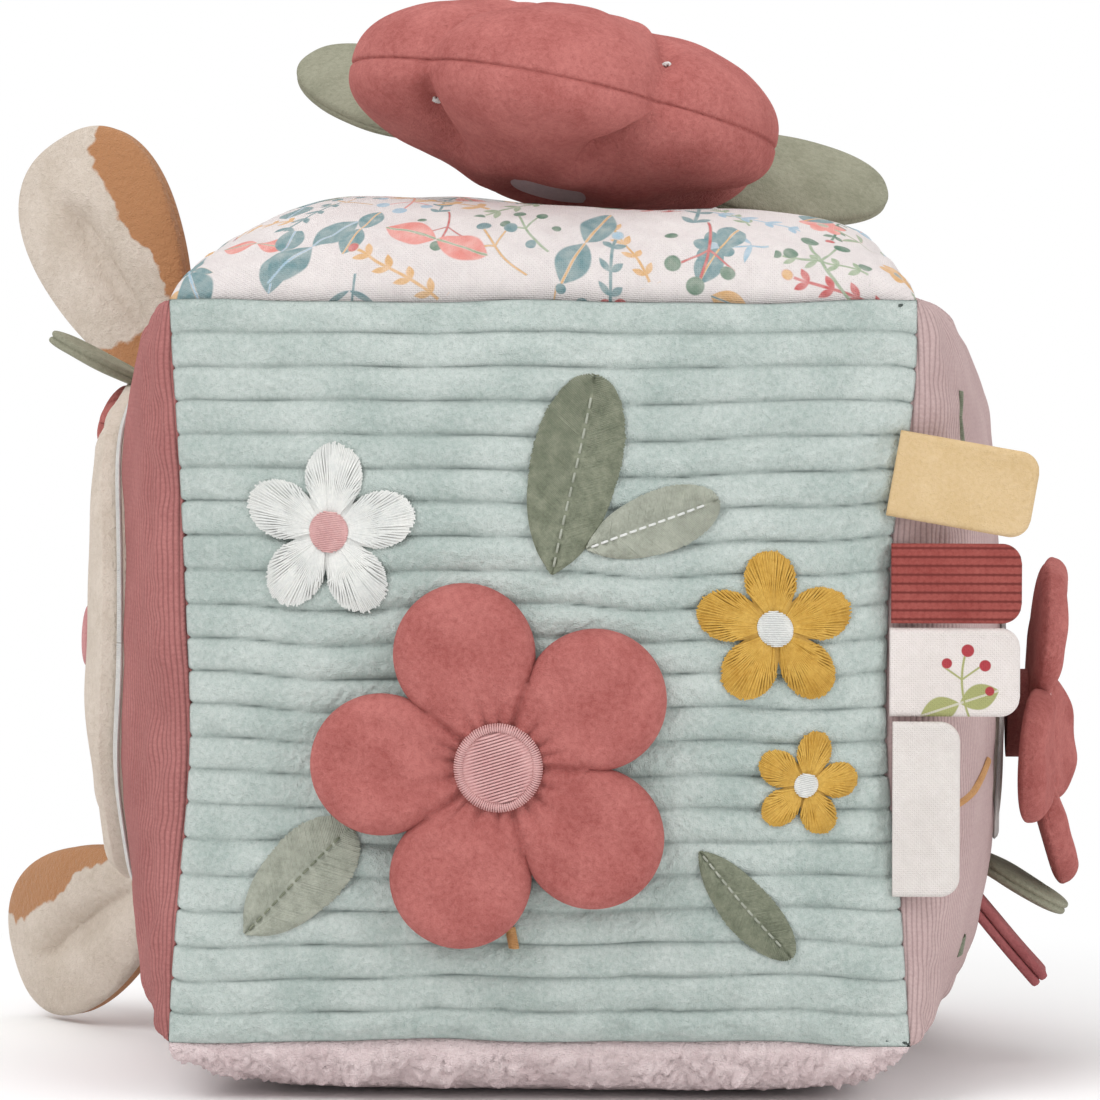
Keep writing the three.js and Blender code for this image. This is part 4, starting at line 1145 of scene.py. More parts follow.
@dataclass(frozen=True)
class Block:
    """The stuffed cube's own shape, which its panels and all that is sewn to them follow."""

    seam_side: float = 150.0
    level_draw: float = 0.6
    bottom_crown: float = 12.5
    stand_cut: float = 0.5
    dent_radius: float = 54.0
    dent_sharpness: float = 4.0
    dent_place: tuple[float, float] = (14.25, -6.0)
    sway: float = 0.6
    corner_draw: float = 0.5
    corner_reach: float = 10.0
    seam_shift: float = 1.7
    roll: float = 0.9
    roll_reach: float = 1.6
    front: Side = Side("front", (0, -1, 0), (1, 0, 0), (0, 0, 1), 8.0)
    back: Side = Side("back", (0, 1, 0), (-1, 0, 0), (0, 0, 1), 12.0)
    left: Side = Side("left", (-1, 0, 0), (0, -1, 0), (0, 0, 1), 16.0, 3.0, 0.45)
    right: Side = Side("right", (1, 0, 0), (0, 1, 0), (0, 0, 1), 18.0, 2.6)
    top: Side = Side("top", (0, 0, 1), (1, 0, 0), (0, 1, 0), 26.0, 3.0, draw=2.5, dent=13.0)
    bottom: Side = Side("bottom", (0, 0, -1), (1, 0, 0), (0, -1, 0), 12.5, 6.0, draw=2.5, stands=True)

    @property
    def half(self) -> float:
        """Half the cube's edge."""
        return self.seam_side / 2

    @property
    def middle(self) -> float:
        """Height of the cube's middle above the ground."""
        return self.half + self.bottom_crown - self.stand_cut

    @property
    def core(self) -> Array:
        """The cube's middle point."""
        return np.array([0, 0, self.middle])

    def skin(self, side: Side, u: Array, v: Array) -> Array:
        """Points of a side's skin, for u and v from -1 to 1 between its seams."""
        open_u, open_v = 1 - u * u, 1 - v * v
        across = u * (self.half - side.draw * open_v)
        up = v * (self.half - self.level_draw * open_u)
        near_u, near_v = np.abs(u) ** side.breadth, np.abs(v) ** side.breadth
        out = self.half - side.draw * near_u * open_v - self.level_draw * near_v * open_u
        out = out + side.crown * np.clip((1 - near_u) * (1 - near_v), 0, 1) ** side.fullness
        if side.dent:
            away = np.hypot(across - self.dent_place[0], up - self.dent_place[1]) / self.dent_radius
            out = out - side.dent * np.exp(-(away**self.dent_sharpness)) * open_u * open_v
        if side.stands:
            out = np.minimum(out, self.middle)
        points = (
            self.core
            + across[..., None] * np.array(side.across)
            + up[..., None] * np.array(side.up)
            + out[..., None] * np.array(side.out)
        )
        near = np.minimum(1 - np.abs(u), 1 - np.abs(v)) * self.half / self.roll_reach
        inward = self.core - points
        inward /= np.linalg.norm(inward, axis=-1, keepdims=True)
        return points + self.swayed(points) + (self.roll * np.exp(-near))[..., None] * inward

    def swayed(self, points: Array) -> Array:
        """How far sewing leaves each point from the plain shape, alike on both sides of a seam."""
        lift = soft_step(points[..., 2], 0.5, 12.0)[..., None]
        drift = np.stack([Ripple(48.0, seed)(points) for seed in (11, 12, 13)], -1)
        away = np.abs(points - self.core) - self.half
        near = np.exp(-np.einsum("...i,...i", away, away) / self.corner_reach**2)[..., None]
        corner = np.sign(points - self.core) / math.sqrt(3)
        beside = np.exp(-(((np.abs(points[..., 0]) - self.half + 4) / 6) ** 2))
        open_z = np.clip(1 - ((points[..., 2] - self.middle) / self.half) ** 2, 0, 1)
        shift = np.stack([-self.seam_shift * beside * (0.5 + 0.5 * open_z), 0 * beside, 0 * beside], -1)
        return self.sway * lift * drift + shift - self.corner_draw * near * corner

    def at(self, side: Side, across: Array, up: Array, lift: Array | float = 0.0) -> Array:
        """Points over a side's skin at places in millimetres from its middle."""
        across, up = np.asarray(across, float), np.asarray(up, float)
        u, v = across / self.half, up / self.half
        for _ in range(6):
            u = np.clip(across / (self.half - side.draw * (1 - v * v)), -1, 1)
            v = np.clip(up / (self.half - self.level_draw * (1 - u * u)), -1, 1)
        height = np.broadcast_to(np.asarray(lift, float), u.shape)
        return self.skin(side, u, v) + height[..., None] * np.array(side.out)

    def on(self, side: Side, across: float, up: float, turn: float = 0.0, lift: float = 0.0) -> Place:
        """Place for a flat pattern laid on a side, turned about its own middle.

        Args:
            side: the side.
            across, up: the pattern's middle, in millimetres from the side's middle.
            turn: its turn in degrees.
            lift: its height over the skin.

        Returns:
            The function that places it.
        """
        cos, sin = math.cos(turn * DEGREE), math.sin(turn * DEGREE)

        def place(x: Array, y: Array, height: Array) -> Array:
            """Points over the skin."""
            return self.at(side, across + x * cos - y * sin, up + x * sin + y * cos, height + lift)

        return place


BLOCK = Block()


@dataclass
class Panels:
    """The six sewn panels and the filling."""

    shop: Workshop
    filling_share: float = 0.86
    wales: int = 22
    wale_points: int = 16
    wale_depth: float = 2.3
    curl_depth: float = 1.0
    pucker: float = 0.4
    pucker_reach: float = 4.0

    def build(self) -> None:
        """Makes the panels and the filling."""
        self.filling()
        self.panel(BLOCK.front, self.wales * self.wale_points + 1, 300, CORDUROY, self.corduroy, bulge=1.1)
        self.panel(BLOCK.back, 120, 120, COTTON, self.plain)
        self.panel(BLOCK.left, 160, 160, ROSE_RIB, self.ribbed)
        self.panel(BLOCK.right, 160, 160, PINK_RIB, self.ribbed)
        self.panel(BLOCK.top, 200, 200, PRINT, self.plain)
        self.panel(BLOCK.bottom, 270, 270, TEDDY, self.curled)

    def filling(self) -> None:
        """Fibre filling, well inside the panels."""
        u, v = np.meshgrid(*[np.sin(np.linspace(-0.5, 0.5, 13) * math.pi)] * 2)
        points, faces = [], []
        for side in (BLOCK.front, BLOCK.back, BLOCK.left, BLOCK.right, BLOCK.top, BLOCK.bottom):
            faces += grid_faces(*u.shape, len(points) * u.size)
            points.append((BLOCK.core + (BLOCK.skin(side, u, v) - BLOCK.core) * self.filling_share).reshape(-1, 3))
        whole = np.vstack(points)
        _, keep, back = np.unique(np.round(whole, 3), axis=0, return_index=True, return_inverse=True)
        welded = [tuple(int(back.ravel()[corner]) for corner in face) for face in faces]
        piece = make_piece("filling", whole[keep], welded, self.shop.cloth(FIBRE))
        self.shop.settle(piece, "block", FIBRE.slot, ["stuffing_core"], 0.9)

    def panel(
        self, side: Side, rows: int, columns: int, finish: Finish,
        surface: Callable[[Array, Array, Array], tuple[Array, Array]], bulge: float = 0.0
    ) -> None:
        """Makes one panel as a closed shape: its worked surface, and a plain back inside the block.

        Args:
            side: the side that it covers.
            rows, columns: points of its surface each way.
            finish: its fabric.
            surface: height of its ribs or curls, and how much painted shade darkens their hollows, at u, v and
                points.
            bulge: how far its ribs stand out over the seams at its sides.
        """
        u, v = np.meshgrid(self.steps(columns), self.steps(rows))
        points = BLOCK.skin(side, u, v)
        height, deep = surface(u, v, points)
        inside = np.minimum(1 - np.abs(u), 1 - np.abs(v)) * BLOCK.half
        height = height * soft_step(inside, 0.0, 1.2) + self.puckers(inside, points)
        if side.stands:
            height = height * soft_step(points[..., 2], 0.0, 6.0)
        normals = self.normals(points, np.array(side.out))
        worked = points + height[..., None] * normals
        if bulge:
            over = (bulge - deep) * np.exp(-(1 - np.abs(u)) * BLOCK.half / 2.2) * (1 - v**8) * np.sign(u)
            worked += over[..., None] * np.array(side.across)
        worked[..., 2] = np.maximum(worked[..., 2], 0.0)
        uv = self.flat_places(points)
        count = rows * columns
        inner = BLOCK.core + (BLOCK.half - 6) * np.array(side.out)
        faces = grid_faces(rows, columns)
        rim = grid_rim(rows, columns)
        faces += [(rim[(index + 1) % len(rim)], a, count) for index, a in enumerate(rim)]
        everything = np.vstack([worked.reshape(-1, 3), inner])
        # The deep attribute carries the painted shade of the hollows to the material.
        marks = {"deep": np.append(deep.ravel(), 0)}
        places = np.vstack([uv.reshape(-1, 2), [[0, 0]]])
        piece = make_piece(f"{side.name}_panel", everything, faces, self.shop.cloth(finish), places, marks)
        self.shop.settle(piece, "block", finish.slot, [f"panel_{side.name}"], 0.9)

    @staticmethod
    def steps(count: int) -> Array:
        """Places from -1 to 1, a little closer together near the ends."""
        even = np.linspace(-1, 1, count)
        return 0.8 * even + 0.2 * np.sin(even * math.pi / 2)

    @staticmethod
    def normals(points: Array, out: Array) -> Array:
        """Unit normals of a grid of points, on the side that out points to."""
        normal = np.cross(np.gradient(points, axis=1), np.gradient(points, axis=0))
        normal /= np.linalg.norm(normal, axis=-1, keepdims=True) + 1e-9
        return normal if (normal @ out).mean() > 0 else -normal

    @staticmethod
    def flat_places(points: Array) -> Array:
        """Texture places in metres, measured along the surface from its middle."""
        runs = []
        for axis in (1, 0):
            steps = np.linalg.norm(np.diff(points, axis=axis), axis=-1)
            start = np.zeros_like(np.take(steps, [0], axis=axis))
            run = np.concatenate([start, np.cumsum(steps, axis=axis)], axis=axis)
            middle = np.take(run, [run.shape[axis] // 2], axis=axis)
            runs.append((run - middle) * MM)
        return np.stack(runs, -1)

    def puckers(self, inside: Array, points: Array) -> Array:
        """Small gathers that run out from the seams."""
        wave = Ripple(8.0, 21)(points) + 0.6 * Ripple(4.5, 22)(points)
        near = inside / self.pucker_reach
        return self.pucker * wave * near * np.exp(1 - near)

    def plain(self, u: Array, v: Array, points: Array) -> tuple[Array, Array]:
        """Plain cloth with a few soft creases."""
        return 0.22 * Ripple(26.0, 31)(points), np.zeros_like(u)

    def corduroy(self, u: Array, v: Array, points: Array) -> tuple[Array, Array]:
        """Broad cords with narrow uneven grooves and a curled pile, with a mask of painted shade in the grooves."""
        row = np.stack([u * 75, v * 30, np.zeros_like(u)], -1)
        wander = 0.10 * Ripple(34.0, 41)(row)
        phase = (v + 1) / 2 * self.wales + wander * (1 - v * v)
        away = np.abs(phase - np.floor(phase) - 0.5) * 2
        uneven = np.clip(0.9 + 0.2 * Ripple(15.0, 42)(row), 0.5, 1.15)
        groove = 1 - np.sqrt(1 - (0.985 * away) ** 2)
        fade = np.clip((1 - u * u) * (1 - v * v), 0, 1) ** 0.2
        pile = 0.13 * Ripple(2.4, 43, 40)(points) + 0.09 * Ripple(1.4, 44, 40)(points)
        height = -self.wale_depth * groove * uneven * fade + pile * (1 - 0.6 * groove)
        # The second value is the painted shade in the grooves.
        return height, np.clip(away**12 * uneven, 0, 1)

    def ribbed(self, u: Array, v: Array, points: Array) -> tuple[Array, Array]:
        """Soft unevenness under the fine ribs, which the material draws."""
        return 0.3 * Ripple(24.0, 51)(points) + 0.12 * Ripple(9.0, 52)(points), np.zeros_like(u)

    def curled(self, u: Array, v: Array, points: Array) -> tuple[Array, Array]:
        """Curled teddy pile, with a mask of painted shade in the hollows between curls."""
        curls = 0.6 * np.abs(Ripple(4.4, 61, 40)(points)) + 0.7 * np.abs(Ripple(2.4, 62, 40)(points))
        height = self.curl_depth * (curls - 0.5) + 0.5 * Ripple(16.0, 63)(points)
        # The second value is the painted shade in the hollows between curls.
        return height, np.clip(0.4 - curls * 0.8, 0, 1)


@dataclass(frozen=True)
class Spot:
    """Where an embroidered shape lies on the front: its middle as shares of half the side, and its turn."""

    across_share: float
    up_share: float
    turn: float = 0.0

    def place(self, side: Side, lift: float) -> Place:
        """Place on a side, at a height over its skin."""
        return BLOCK.on(side, self.across_share * BLOCK.half, self.up_share * BLOCK.half, self.turn, lift)


@dataclass
class Embroidery:
    """Flowers, leaves and a stem worked in thread on the corduroy."""

    shop: Workshop
    lift: float = 0.3
    height: float = 0.8
    thread: float = 0.2
    notch_share: float = 0.42
    seed: int = 71

    def build(self) -> None:
        """Works every shape."""
        self.flower("white_flower", Spot(-0.557, 0.375, 85), 17.5, 3.8, WHITE_THREAD, SATIN)
        self.flower("mustard_flower_large", Spot(0.617, 0.118, 92), 16.0, 3.4, MUSTARD, WHITE_THREAD)
        self.flower("mustard_flower_small", Spot(0.7, -0.29, 78), 10.8, 2.3, MUSTARD, WHITE_THREAD)
        self.leaf("leaf_dark_large", Spot(0.082, 0.531, 78), 40.5, 18.0, DARK_GREEN, LIGHT_GREEN)
        self.leaf("leaf_light", Spot(0.302, 0.405, 21), 29.0, 12.5, LIGHT_GREEN, WHITE_THREAD)
        self.leaf("leaf_dark_small", Spot(0.541, -0.62, -50.4), 28.6, 10.0, DARK_GREEN, LIGHT_GREEN)
        self.leaf("leaf_light_low", Spot(-0.643, -0.545, 43.5), 30.3, 16.0, LIGHT_GREEN, DARK_GREEN)
        self.stem()

    def ground(self, name: str, outline: Array, place: Place, finish: Finish, height: float) -> None:
        """Low pad under the threads, which stands for the CAD node of that name."""
        shape = dome(0.15, height), plane(-0.4)
        self.shop.pad(f"{name}_ground", outline, [1, 0.8, 0.4], place, *shape, finish, [name])

    def flower(self, name: str, spot: Spot, radius: float, eye: float, finish: Finish, eye_finish: Finish) -> None:
        """Five satin-stitched petals whose threads fan out from an eye.

        Args:
            name: the CAD node.
            spot: its place.
            radius: from its middle to a petal's tip.
            eye: the eye's radius.
            finish, eye_finish: the petals' thread and the eye's.
        """
        draw = np.random.default_rng(self.seed + int(radius * 10))
        place = spot.place(BLOCK.front, self.lift)
        outline = flower_outline(radius * 0.97, self.notch_share, 0.0)
        self.ground(name, outline, place, finish, self.height * 0.6)
        paths = []
        count = int(radius * 3.2)
        for petal in range(PETALS):
            axis = petal * 2 * math.pi / PETALS
            for index in range(count):
                share = (index + 0.5) / count * 2 - 1
                swing = share * math.pi / PETALS * 0.93
                tip = flower_reach(np.array(swing), radius, self.notch_share) * (1 + draw.normal() * 0.01)
                root = eye * 0.7 if index % 2 else radius * draw.uniform(0.3, 0.5)
                start, end = ray(axis + swing * 0.7, root), ray(axis + swing, float(tip))
                paths.append(arched(start, end, place, 0.05, self.height + draw.normal() * 0.06, 6))
        self.shop.stitch(f"{name}_threads", paths, self.thread, finish)
        self.eye(f"{name}_eye", spot, eye, eye_finish)

    def eye(self, name: str, spot: Spot, radius: float, finish: Finish) -> None:
        """Round satin-stitched middle of a flower."""
        place = spot.place(BLOCK.front, self.lift + self.height * 0.7)
        self.ground(name, oval(radius, radius, 40), place, finish, self.height * 0.8)
        paths = bars(oval_chords(radius * 1.05, 0.36), place, 0.0, self.height * 1.1)
        self.shop.stitch(f"{name}_threads", paths, self.thread, finish)

    def leaf(self, name: str, spot: Spot, length: float, width: float, finish: Finish, rib: Finish) -> None:
        """Leaf of slanting threads on both sides of a stitched midrib.

        Args:
            name: the CAD node.
            spot: its place.
            length, width: its size.
            finish, rib: its thread and its midrib's.
        """
        draw = np.random.default_rng(self.seed + int(length * 7))
        place = spot.place(BLOCK.front, self.lift)
        self.ground(name, leaf_outline(length, width, count=80) * 0.97, place, finish, self.height * 0.5)
        paths = []
        count = int(length * 2.9)
        for side in (-1, 1):
            for index in range(count):
                turn = math.acos(1 - 2 * (index + 0.5) / count)
                x = -length / 2 * math.cos(turn)
                edge = width / 2 * math.sin(turn) ** 1.3 * (1 + draw.normal() * 0.012)
                lean = min(edge * 0.7, length / 2 - x)
                start = np.array([x - lean * 0.3, side * 0.12])
                end = np.array([x + lean * 0.5, side * edge])
                paths.append(arched(start, end, place, 0.1, self.height * 0.8 + draw.normal() * 0.05))
        self.shop.stitch(f"{name}_threads", paths, self.thread, finish)
        run = np.linspace(-0.46, 0.34, 12) * length
        stitches = [
            arched(np.array([x, 0.0]), np.array([x + length * 0.045, 0.0]), place, self.height * 0.5, self.height)
            for x in run
        ]
        self.shop.stitch(f"{name}_midrib", stitches, self.thread * 1.3, rib, slot=finish.slot)

    def stem(self) -> None:
        """End of a stem that shows under the plush flower."""
        place = Spot(-0.075, -0.701, 100).place(BLOCK.front, self.lift)
        self.ground("stem_orange", oval(2.2, 0.9, 24), place, ORANGE, self.height * 0.6)
        rows = [(np.array([x, -0.9]), np.array([x + 0.3, 0.9])) for x in np.arange(-2.1, 2.2, 0.34)]
        self.shop.stitch("stem_orange_threads", bars(rows, place, 0.0, self.height), self.thread, ORANGE)


def oval_chords(radius: float, pitch: float) -> list[tuple[Array, Array]]:
    """Parallel chords that fill a circle."""
    places = np.arange(-radius + pitch / 2, radius, pitch)
    return [(np.array([x, -half]), np.array([x, half])) for x, half in zip(places, np.sqrt(radius**2 - places**2))]


def bars(ends: Iterable[tuple[Array, Array]], place: Place, low: float, high: float) -> list[Array]:
    """Stitches laid straight between pairs of ends."""
    return [arched(start, end, place, low, high) for start, end in ends]


@dataclass
class PlushFlower:
    """Plush flower sewn down at its middle, with five petals, each flared up by a set angle."""

    shop: Workshop
    prefix: str
    body: str
    stand: Stand
    flares: tuple[float, ...]
    hub_drop: float = 0.0
    lobe_centre: float = 23.3
    lobe_radius: float = 14.1
    inner: float = 6.2
    hinge: float = 15.15
    notch: float = 18.6
    thickness: float = 5.8
    rim: float = 1.6
    disc_radius: float = 8.2
    disc_height: float = 1.3
    bend_reach: float = 3.0

    def build(self) -> None:
        """Makes the petals, the middle and the disc."""
        for index, flare in enumerate(self.flares):
            self.petal(index, flare)
        self.middle()

    def petal(self, index: int, flare: float) -> None:
        """One petal, from the disc to its tip, with its share of the gathered middle.

        Args:
            index: which petal, from 0.
            flare: how far it stands up at rest, in degrees.
        """
        stand = self.stand.turned(index * 360 / PETALS)
        rows, columns = 64, 56
        swing = np.sin(np.linspace(-0.5, 0.5, columns) * math.pi) * math.pi / PETALS
        spread = (1 - np.cos(np.linspace(0, 1, rows) * math.pi)) / 2
        steps = 0.35 * np.linspace(0, 1, rows) + 0.65 * np.sin(spread * math.pi / 2)
        under = np.clip(self.lobe_radius**2 - (self.lobe_centre * np.sin(swing)) ** 2, 0, None)
        reach = np.maximum(self.lobe_centre * np.cos(swing) + np.sqrt(under), self.notch)
        radius = self.inner + (reach - self.inner)[None, :] * (steps / steps[-1])[:, None]
        angle = np.broadcast_to(swing, radius.shape)
        x, y = radius * np.cos(angle), radius * np.sin(angle)
        inside = self.lobe_radius - np.hypot(x - self.lobe_centre, y)
        edge = np.clip(np.maximum(inside, (self.notch - radius) * 0.8), 0, None)
        round_share = rounded(1 - np.clip(edge / 4.2, 0, 1))
        local = stand.place(x, y, 0 * x)
        height = self.thickness * (0.62 + 0.38 * soft_step(radius, 8.0, 19.0))
        wedge = radius * np.sin(math.pi / PETALS - np.abs(angle))
        height = height - 1.5 * np.exp(-((wedge / 0.9) ** 2)) * (1 - soft_step(radius, 16.0, 21.0))
        for offset, depth, seed in ((-0.36, 1.3, 1), (-0.06, 1.7, 2), (0.27, 1.4, 3)):
            lean = offset + 0.06 * math.sin(seed + index * 2.1)
            crease = np.exp(-np.abs(radius * np.sin(angle - lean)) / 0.8)
            height = height - depth * crease * (1 - soft_step(radius, 9.0, 17.5))
        height = height + 0.3 * Ripple(12.0, 81)(local)
        upper = self.rim + 0.2 + (height - self.rim - 0.2) * round_share
        lower = self.rim * (1 - round_share)
        points = [self.flared(stand, x, y, level, flare) for level in (upper, lower)]
        everything = np.vstack([grid.reshape(-1, 3) for grid in points])
        name = f"{self.prefix}_petal_{index + 1}"
        piece = make_piece(f"{name}_plush", everything, slab_faces(rows, columns), self.shop.cloth(CORAL))
        reach = (self.hinge - self.bend_reach, self.hinge + self.bend_reach)
        self.shop.hang(piece, f"{self.body}_petal_{index + 1}", stand.raised(self.rim), reach, CORAL, [name], 0.7)

    def flared(self, stand: Stand, x: Array, y: Array, level: Array, flare: float) -> Array:
        """Points of a petal that bends up beyond its hinge line."""
        turn = flare * DEGREE * soft_step(x, self.hinge - self.bend_reach, self.hinge + self.bend_reach)
        away, high = x - self.hinge, level - self.rim
        run = self.hinge + away * np.cos(turn) - high * np.sin(turn)
        rise = self.rim + away * np.sin(turn) + high * np.cos(turn)
        return stand.place(run, y, rise)

    def middle(self) -> None:
        """Pad under the disc, the stitched disc, and the ring of small stitches round it."""
        outline = oval(self.disc_radius + 1.2, self.disc_radius + 1.2, 64)
        shape = ring_shares(6), self.stand.place, dome(0.4, 3.4), plane(-self.hub_drop)
        self.shop.pad(f"{self.prefix}_middle", outline, *shape, CORAL, [f"{self.prefix}_hub"], 0.7)
        raised = self.stand.raised(3.4)
        outline = oval(self.disc_radius, self.disc_radius, 64)
        upper, lower = dome(0.2, self.disc_height - 0.5), lambda x, y, share: 0.8 * (share - 1)
        shape = ring_shares(6), raised.place, upper, lower
        self.shop.pad(f"{self.prefix}_disc_ground", outline, *shape, SATIN, [f"{self.prefix}_disc"])
        rows = bars(oval_chords(self.disc_radius * 0.84, 0.62), raised.place, 0.45, self.disc_height - 0.1)
        self.shop.stitch(f"{self.prefix}_disc_threads", rows, 0.27, SATIN)
        inner, outer = (ray(turns(110), self.disc_radius * share) for share in (0.84, 1.06))
        border = [arched(start, end, raised.place, 0.1, 1.25) for start, end in zip(inner, outer)]
        self.shop.stitch(f"{self.prefix}_disc_border", border, 0.2, SATIN)


@dataclass(frozen=True)
class Tab:
    """One tab in the seam: its name, its size, how far it hangs down and its fabric."""

    name: str
    reach: float
    tall: float
    finish: Finish
    droop: float = 0.0
    ribs: int = 0


@dataclass
class Tabs:
    """Tabs caught in the seam between the front and the right side."""

    shop: Workshop
    root: float = 2.4
    corner: float = 4.0
    half_thickness: float = 1.2
    bend_reach: float = 1.5

    def build(self) -> None:
        """Makes the four tabs."""
        for tab in (
            Tab("tab_yellow", 26.0, 17.2, YELLOW, droop=10), Tab("tab_red", 23.5, 15.9, RED_TAPE, ribs=9),
            Tab("tab_white", 23.5, 17.7, PRINTED_TAPE), Tab("tab_plain", 11.0, 35.0, TAPE)
        ):
            self.tab(tab)

    def tab(self, tab: Tab) -> None:
        """Makes one tab that runs out of the seam at its hinge."""
        hinge = self.shop.hinge(f"{tab.name}_flap")
        droop = tab.droop * DEGREE
        stand = Stand(hinge, (math.cos(droop), 0, -math.sin(droop)), (0, -1, 0))

        def relief(x: Array, y: Array) -> Array:
            """Ribs across a tab, or the slight unevenness of a plain one."""
            if tab.ribs:
                return 0.32 * (np.abs(np.cos(math.pi * tab.ribs * y / tab.tall)) ** 0.8 - 0.8)
            return 0.07 * Ripple(5.0, 92)(spots(x, y))

        piece = ribbon(
            f"{tab.name}_cloth", tab.reach, tab.tall, self.corner, stand.place, self.half_thickness,
            self.shop.cloth(tab.finish), self.root, relief
        )
        self.shop.hang(piece, tab.name, stand, (-self.bend_reach, self.bend_reach), tab.finish, [tab.name])


@dataclass
class Leaf:
    """Plush leaf sewn from two faces, with its root at its hinge joint."""

    shop: Workshop
    name: str
    joint: str
    reach: Triple
    facing: Triple
    length: float
    width: float
    half_thickness: float
    parent: str = "block"
    taper: float = 1.0
    rim: float = 0.9
    seam: bool = True
    bend_reach: float = 2.0

    def build(self) -> None:
        """Makes the leaf, drawn in along its middle where it has a seam."""
        stand = Stand(self.shop.hinge(self.joint), self.reach, self.facing)

        def place(x: Array, y: Array, height: Array) -> Array:
            """Points of the leaf, whose root runs a little past its hinge."""
            run = np.clip((x + self.length / 2) / self.length, 0, 1)
            return stand.place(x + self.length / 2 - self.bend_reach * (1 - run), y, height)

        def rise(x: Array, y: Array, share: Array, side: int) -> Array:
            """Height of a face, drawn in along its middle."""
            middle = np.exp(-((y / 1.1) ** 2)) * (1 - soft_step(x, self.length * 0.2, self.length * 0.45))
            wave = Ripple(11.0, 95)(spots(x, y, side))
            return self.half_thickness * (1 + 0.06 * wave) - (0.9 * middle if self.seam else 0)

        outline = leaf_outline(self.length, self.width, self.taper)
        piece = seamed_pad(f"{self.name}_plush", outline, place, rise, self.rim, self.shop.cloth(SAGE))
        self.shop.inflate(piece, 0.7)
        reach = (-self.bend_reach, self.bend_reach)
        self.shop.hang(piece, self.name, stand, reach, SAGE, [self.name], 0.5, self.parent)


def satin_line(points: Array, width: float, place: Place, pitch: float = 0.42) -> list[Array]:
    """Stitches laid side by side across a line, as satin stitch is.

    Args:
        points: the line, as rows of x and y.
        width: the stitches' length.
        place: turns x, y and height into points.
        pitch: from one stitch to the next.

    Returns:
        The stitches' points.
    """
    steps = np.linalg.norm(np.diff(points, axis=0), axis=1)
    run = np.append(0, np.cumsum(steps))
    spots = np.arange(pitch / 2, run[-1], pitch)
    middle = np.stack([np.interp(spots, run, points[:, axis]) for axis in range(2)], -1)
    ahead = np.gradient(middle, axis=0)
    ahead /= np.linalg.norm(ahead, axis=1)[:, None]
    aside = np.stack([-ahead[:, 1], ahead[:, 0]], -1) * width / 2
    return [arched(spot - off, spot + off, place, -0.1, 0.55) for spot, off in zip(middle, aside)]


@dataclass
class RightSide:
    """Round backing, standing flower, leaf, strap and stitches on the right side."""

    shop: Workshop
    spot: tuple[float, float] = (3.975, -14.025)
    radius: float = 25.0
    height: float = 1.6
    centre_x: float = 99.33

    def build(self) -> None:
        """Makes every piece on the right side."""
        self.backing()
        centre = (self.centre_x, self.spot[0], BLOCK.middle + self.spot[1])
        turn = 54 * DEGREE
        stand = Stand(centre, (0, math.cos(turn), math.sin(turn)), (1, 0, 0))
        PlushFlower(self.shop, "right_flower", "right", stand, (12, 6, -10, 16, 20), 4.6).build()
        Leaf(self.shop, "right_leaf", "right_leaf_flap", *sloped(30), 21, 24, 2.3, seam=False).build()
        self.strap()
        self.stitches()

    def backing(self) -> None:
        """Round cream backing with a satin-stitched edge."""
        place = BLOCK.on(BLOCK.right, *self.spot)
        shape = ring_shares(14), place, dome(0.7, self.height), plane(-0.5)
        self.shop.pad("round_backing", oval(self.radius, self.radius), *shape, CREAM, ["right_round"])
        edge = satin_line(closed(oval(self.radius, self.radius, 180)), 2.4, place)
        self.shop.stitch("round_border", [row + [0.7, 0, 0] for row in edge], 0.24, SILVER)

    def strap(self) -> None:
        """Strap of two layers that part at its edge."""
        stand = Stand(self.shop.hinge("right_strap_flap"), *sloped(50))
        for layer, side in (("upper", 1), ("lower", -1)):
            piece = ribbon(
                f"strap_{layer}", 21, 14, 2.4, stand.raised(side * 1.02).place, 0.98, self.shop.cloth(ROSE_TAPE), 2.0
            )
            nodes = ["right_strap"] if side > 0 else []
            self.shop.hang(piece, "right_strap", stand, (-1.5, 1.5), ROSE_TAPE, nodes)

    def stitches(self) -> None:
        """Stem, leaves and lines worked in thread round the backing."""
        place = BLOCK.on(BLOCK.right, 0.0, 0.0)
        lines = (
            ("green", DARK_GREEN, ((-57, 57), (-60, 52), (-58, 45)), 0.8),
            ("orange", ORANGE, ((-65, -28), (-50, -25), (-36, -21)), 1.7),
            ("rose", ROSE_THREAD, ((-68, -11), (-69, -20), (-68, -30)), 0.8),
            ("rose_second", ROSE_THREAD, ((-65.5, -11), (-66.5, -20), (-65.5, -30)), 0.8),
            ("low_green", DARK_GREEN, ((-48, -56), (-46, -60)), 2.4)
        )
        for name, finish, points, width in lines:
            self.shop.stitch(f"right_stitch_{name}", satin_line(along(*points), width, place), 0.22, finish)


def closed(points: Array) -> Array:
    """Outline with its first point repeated at its end."""
    return np.vstack([points, points[:1]])


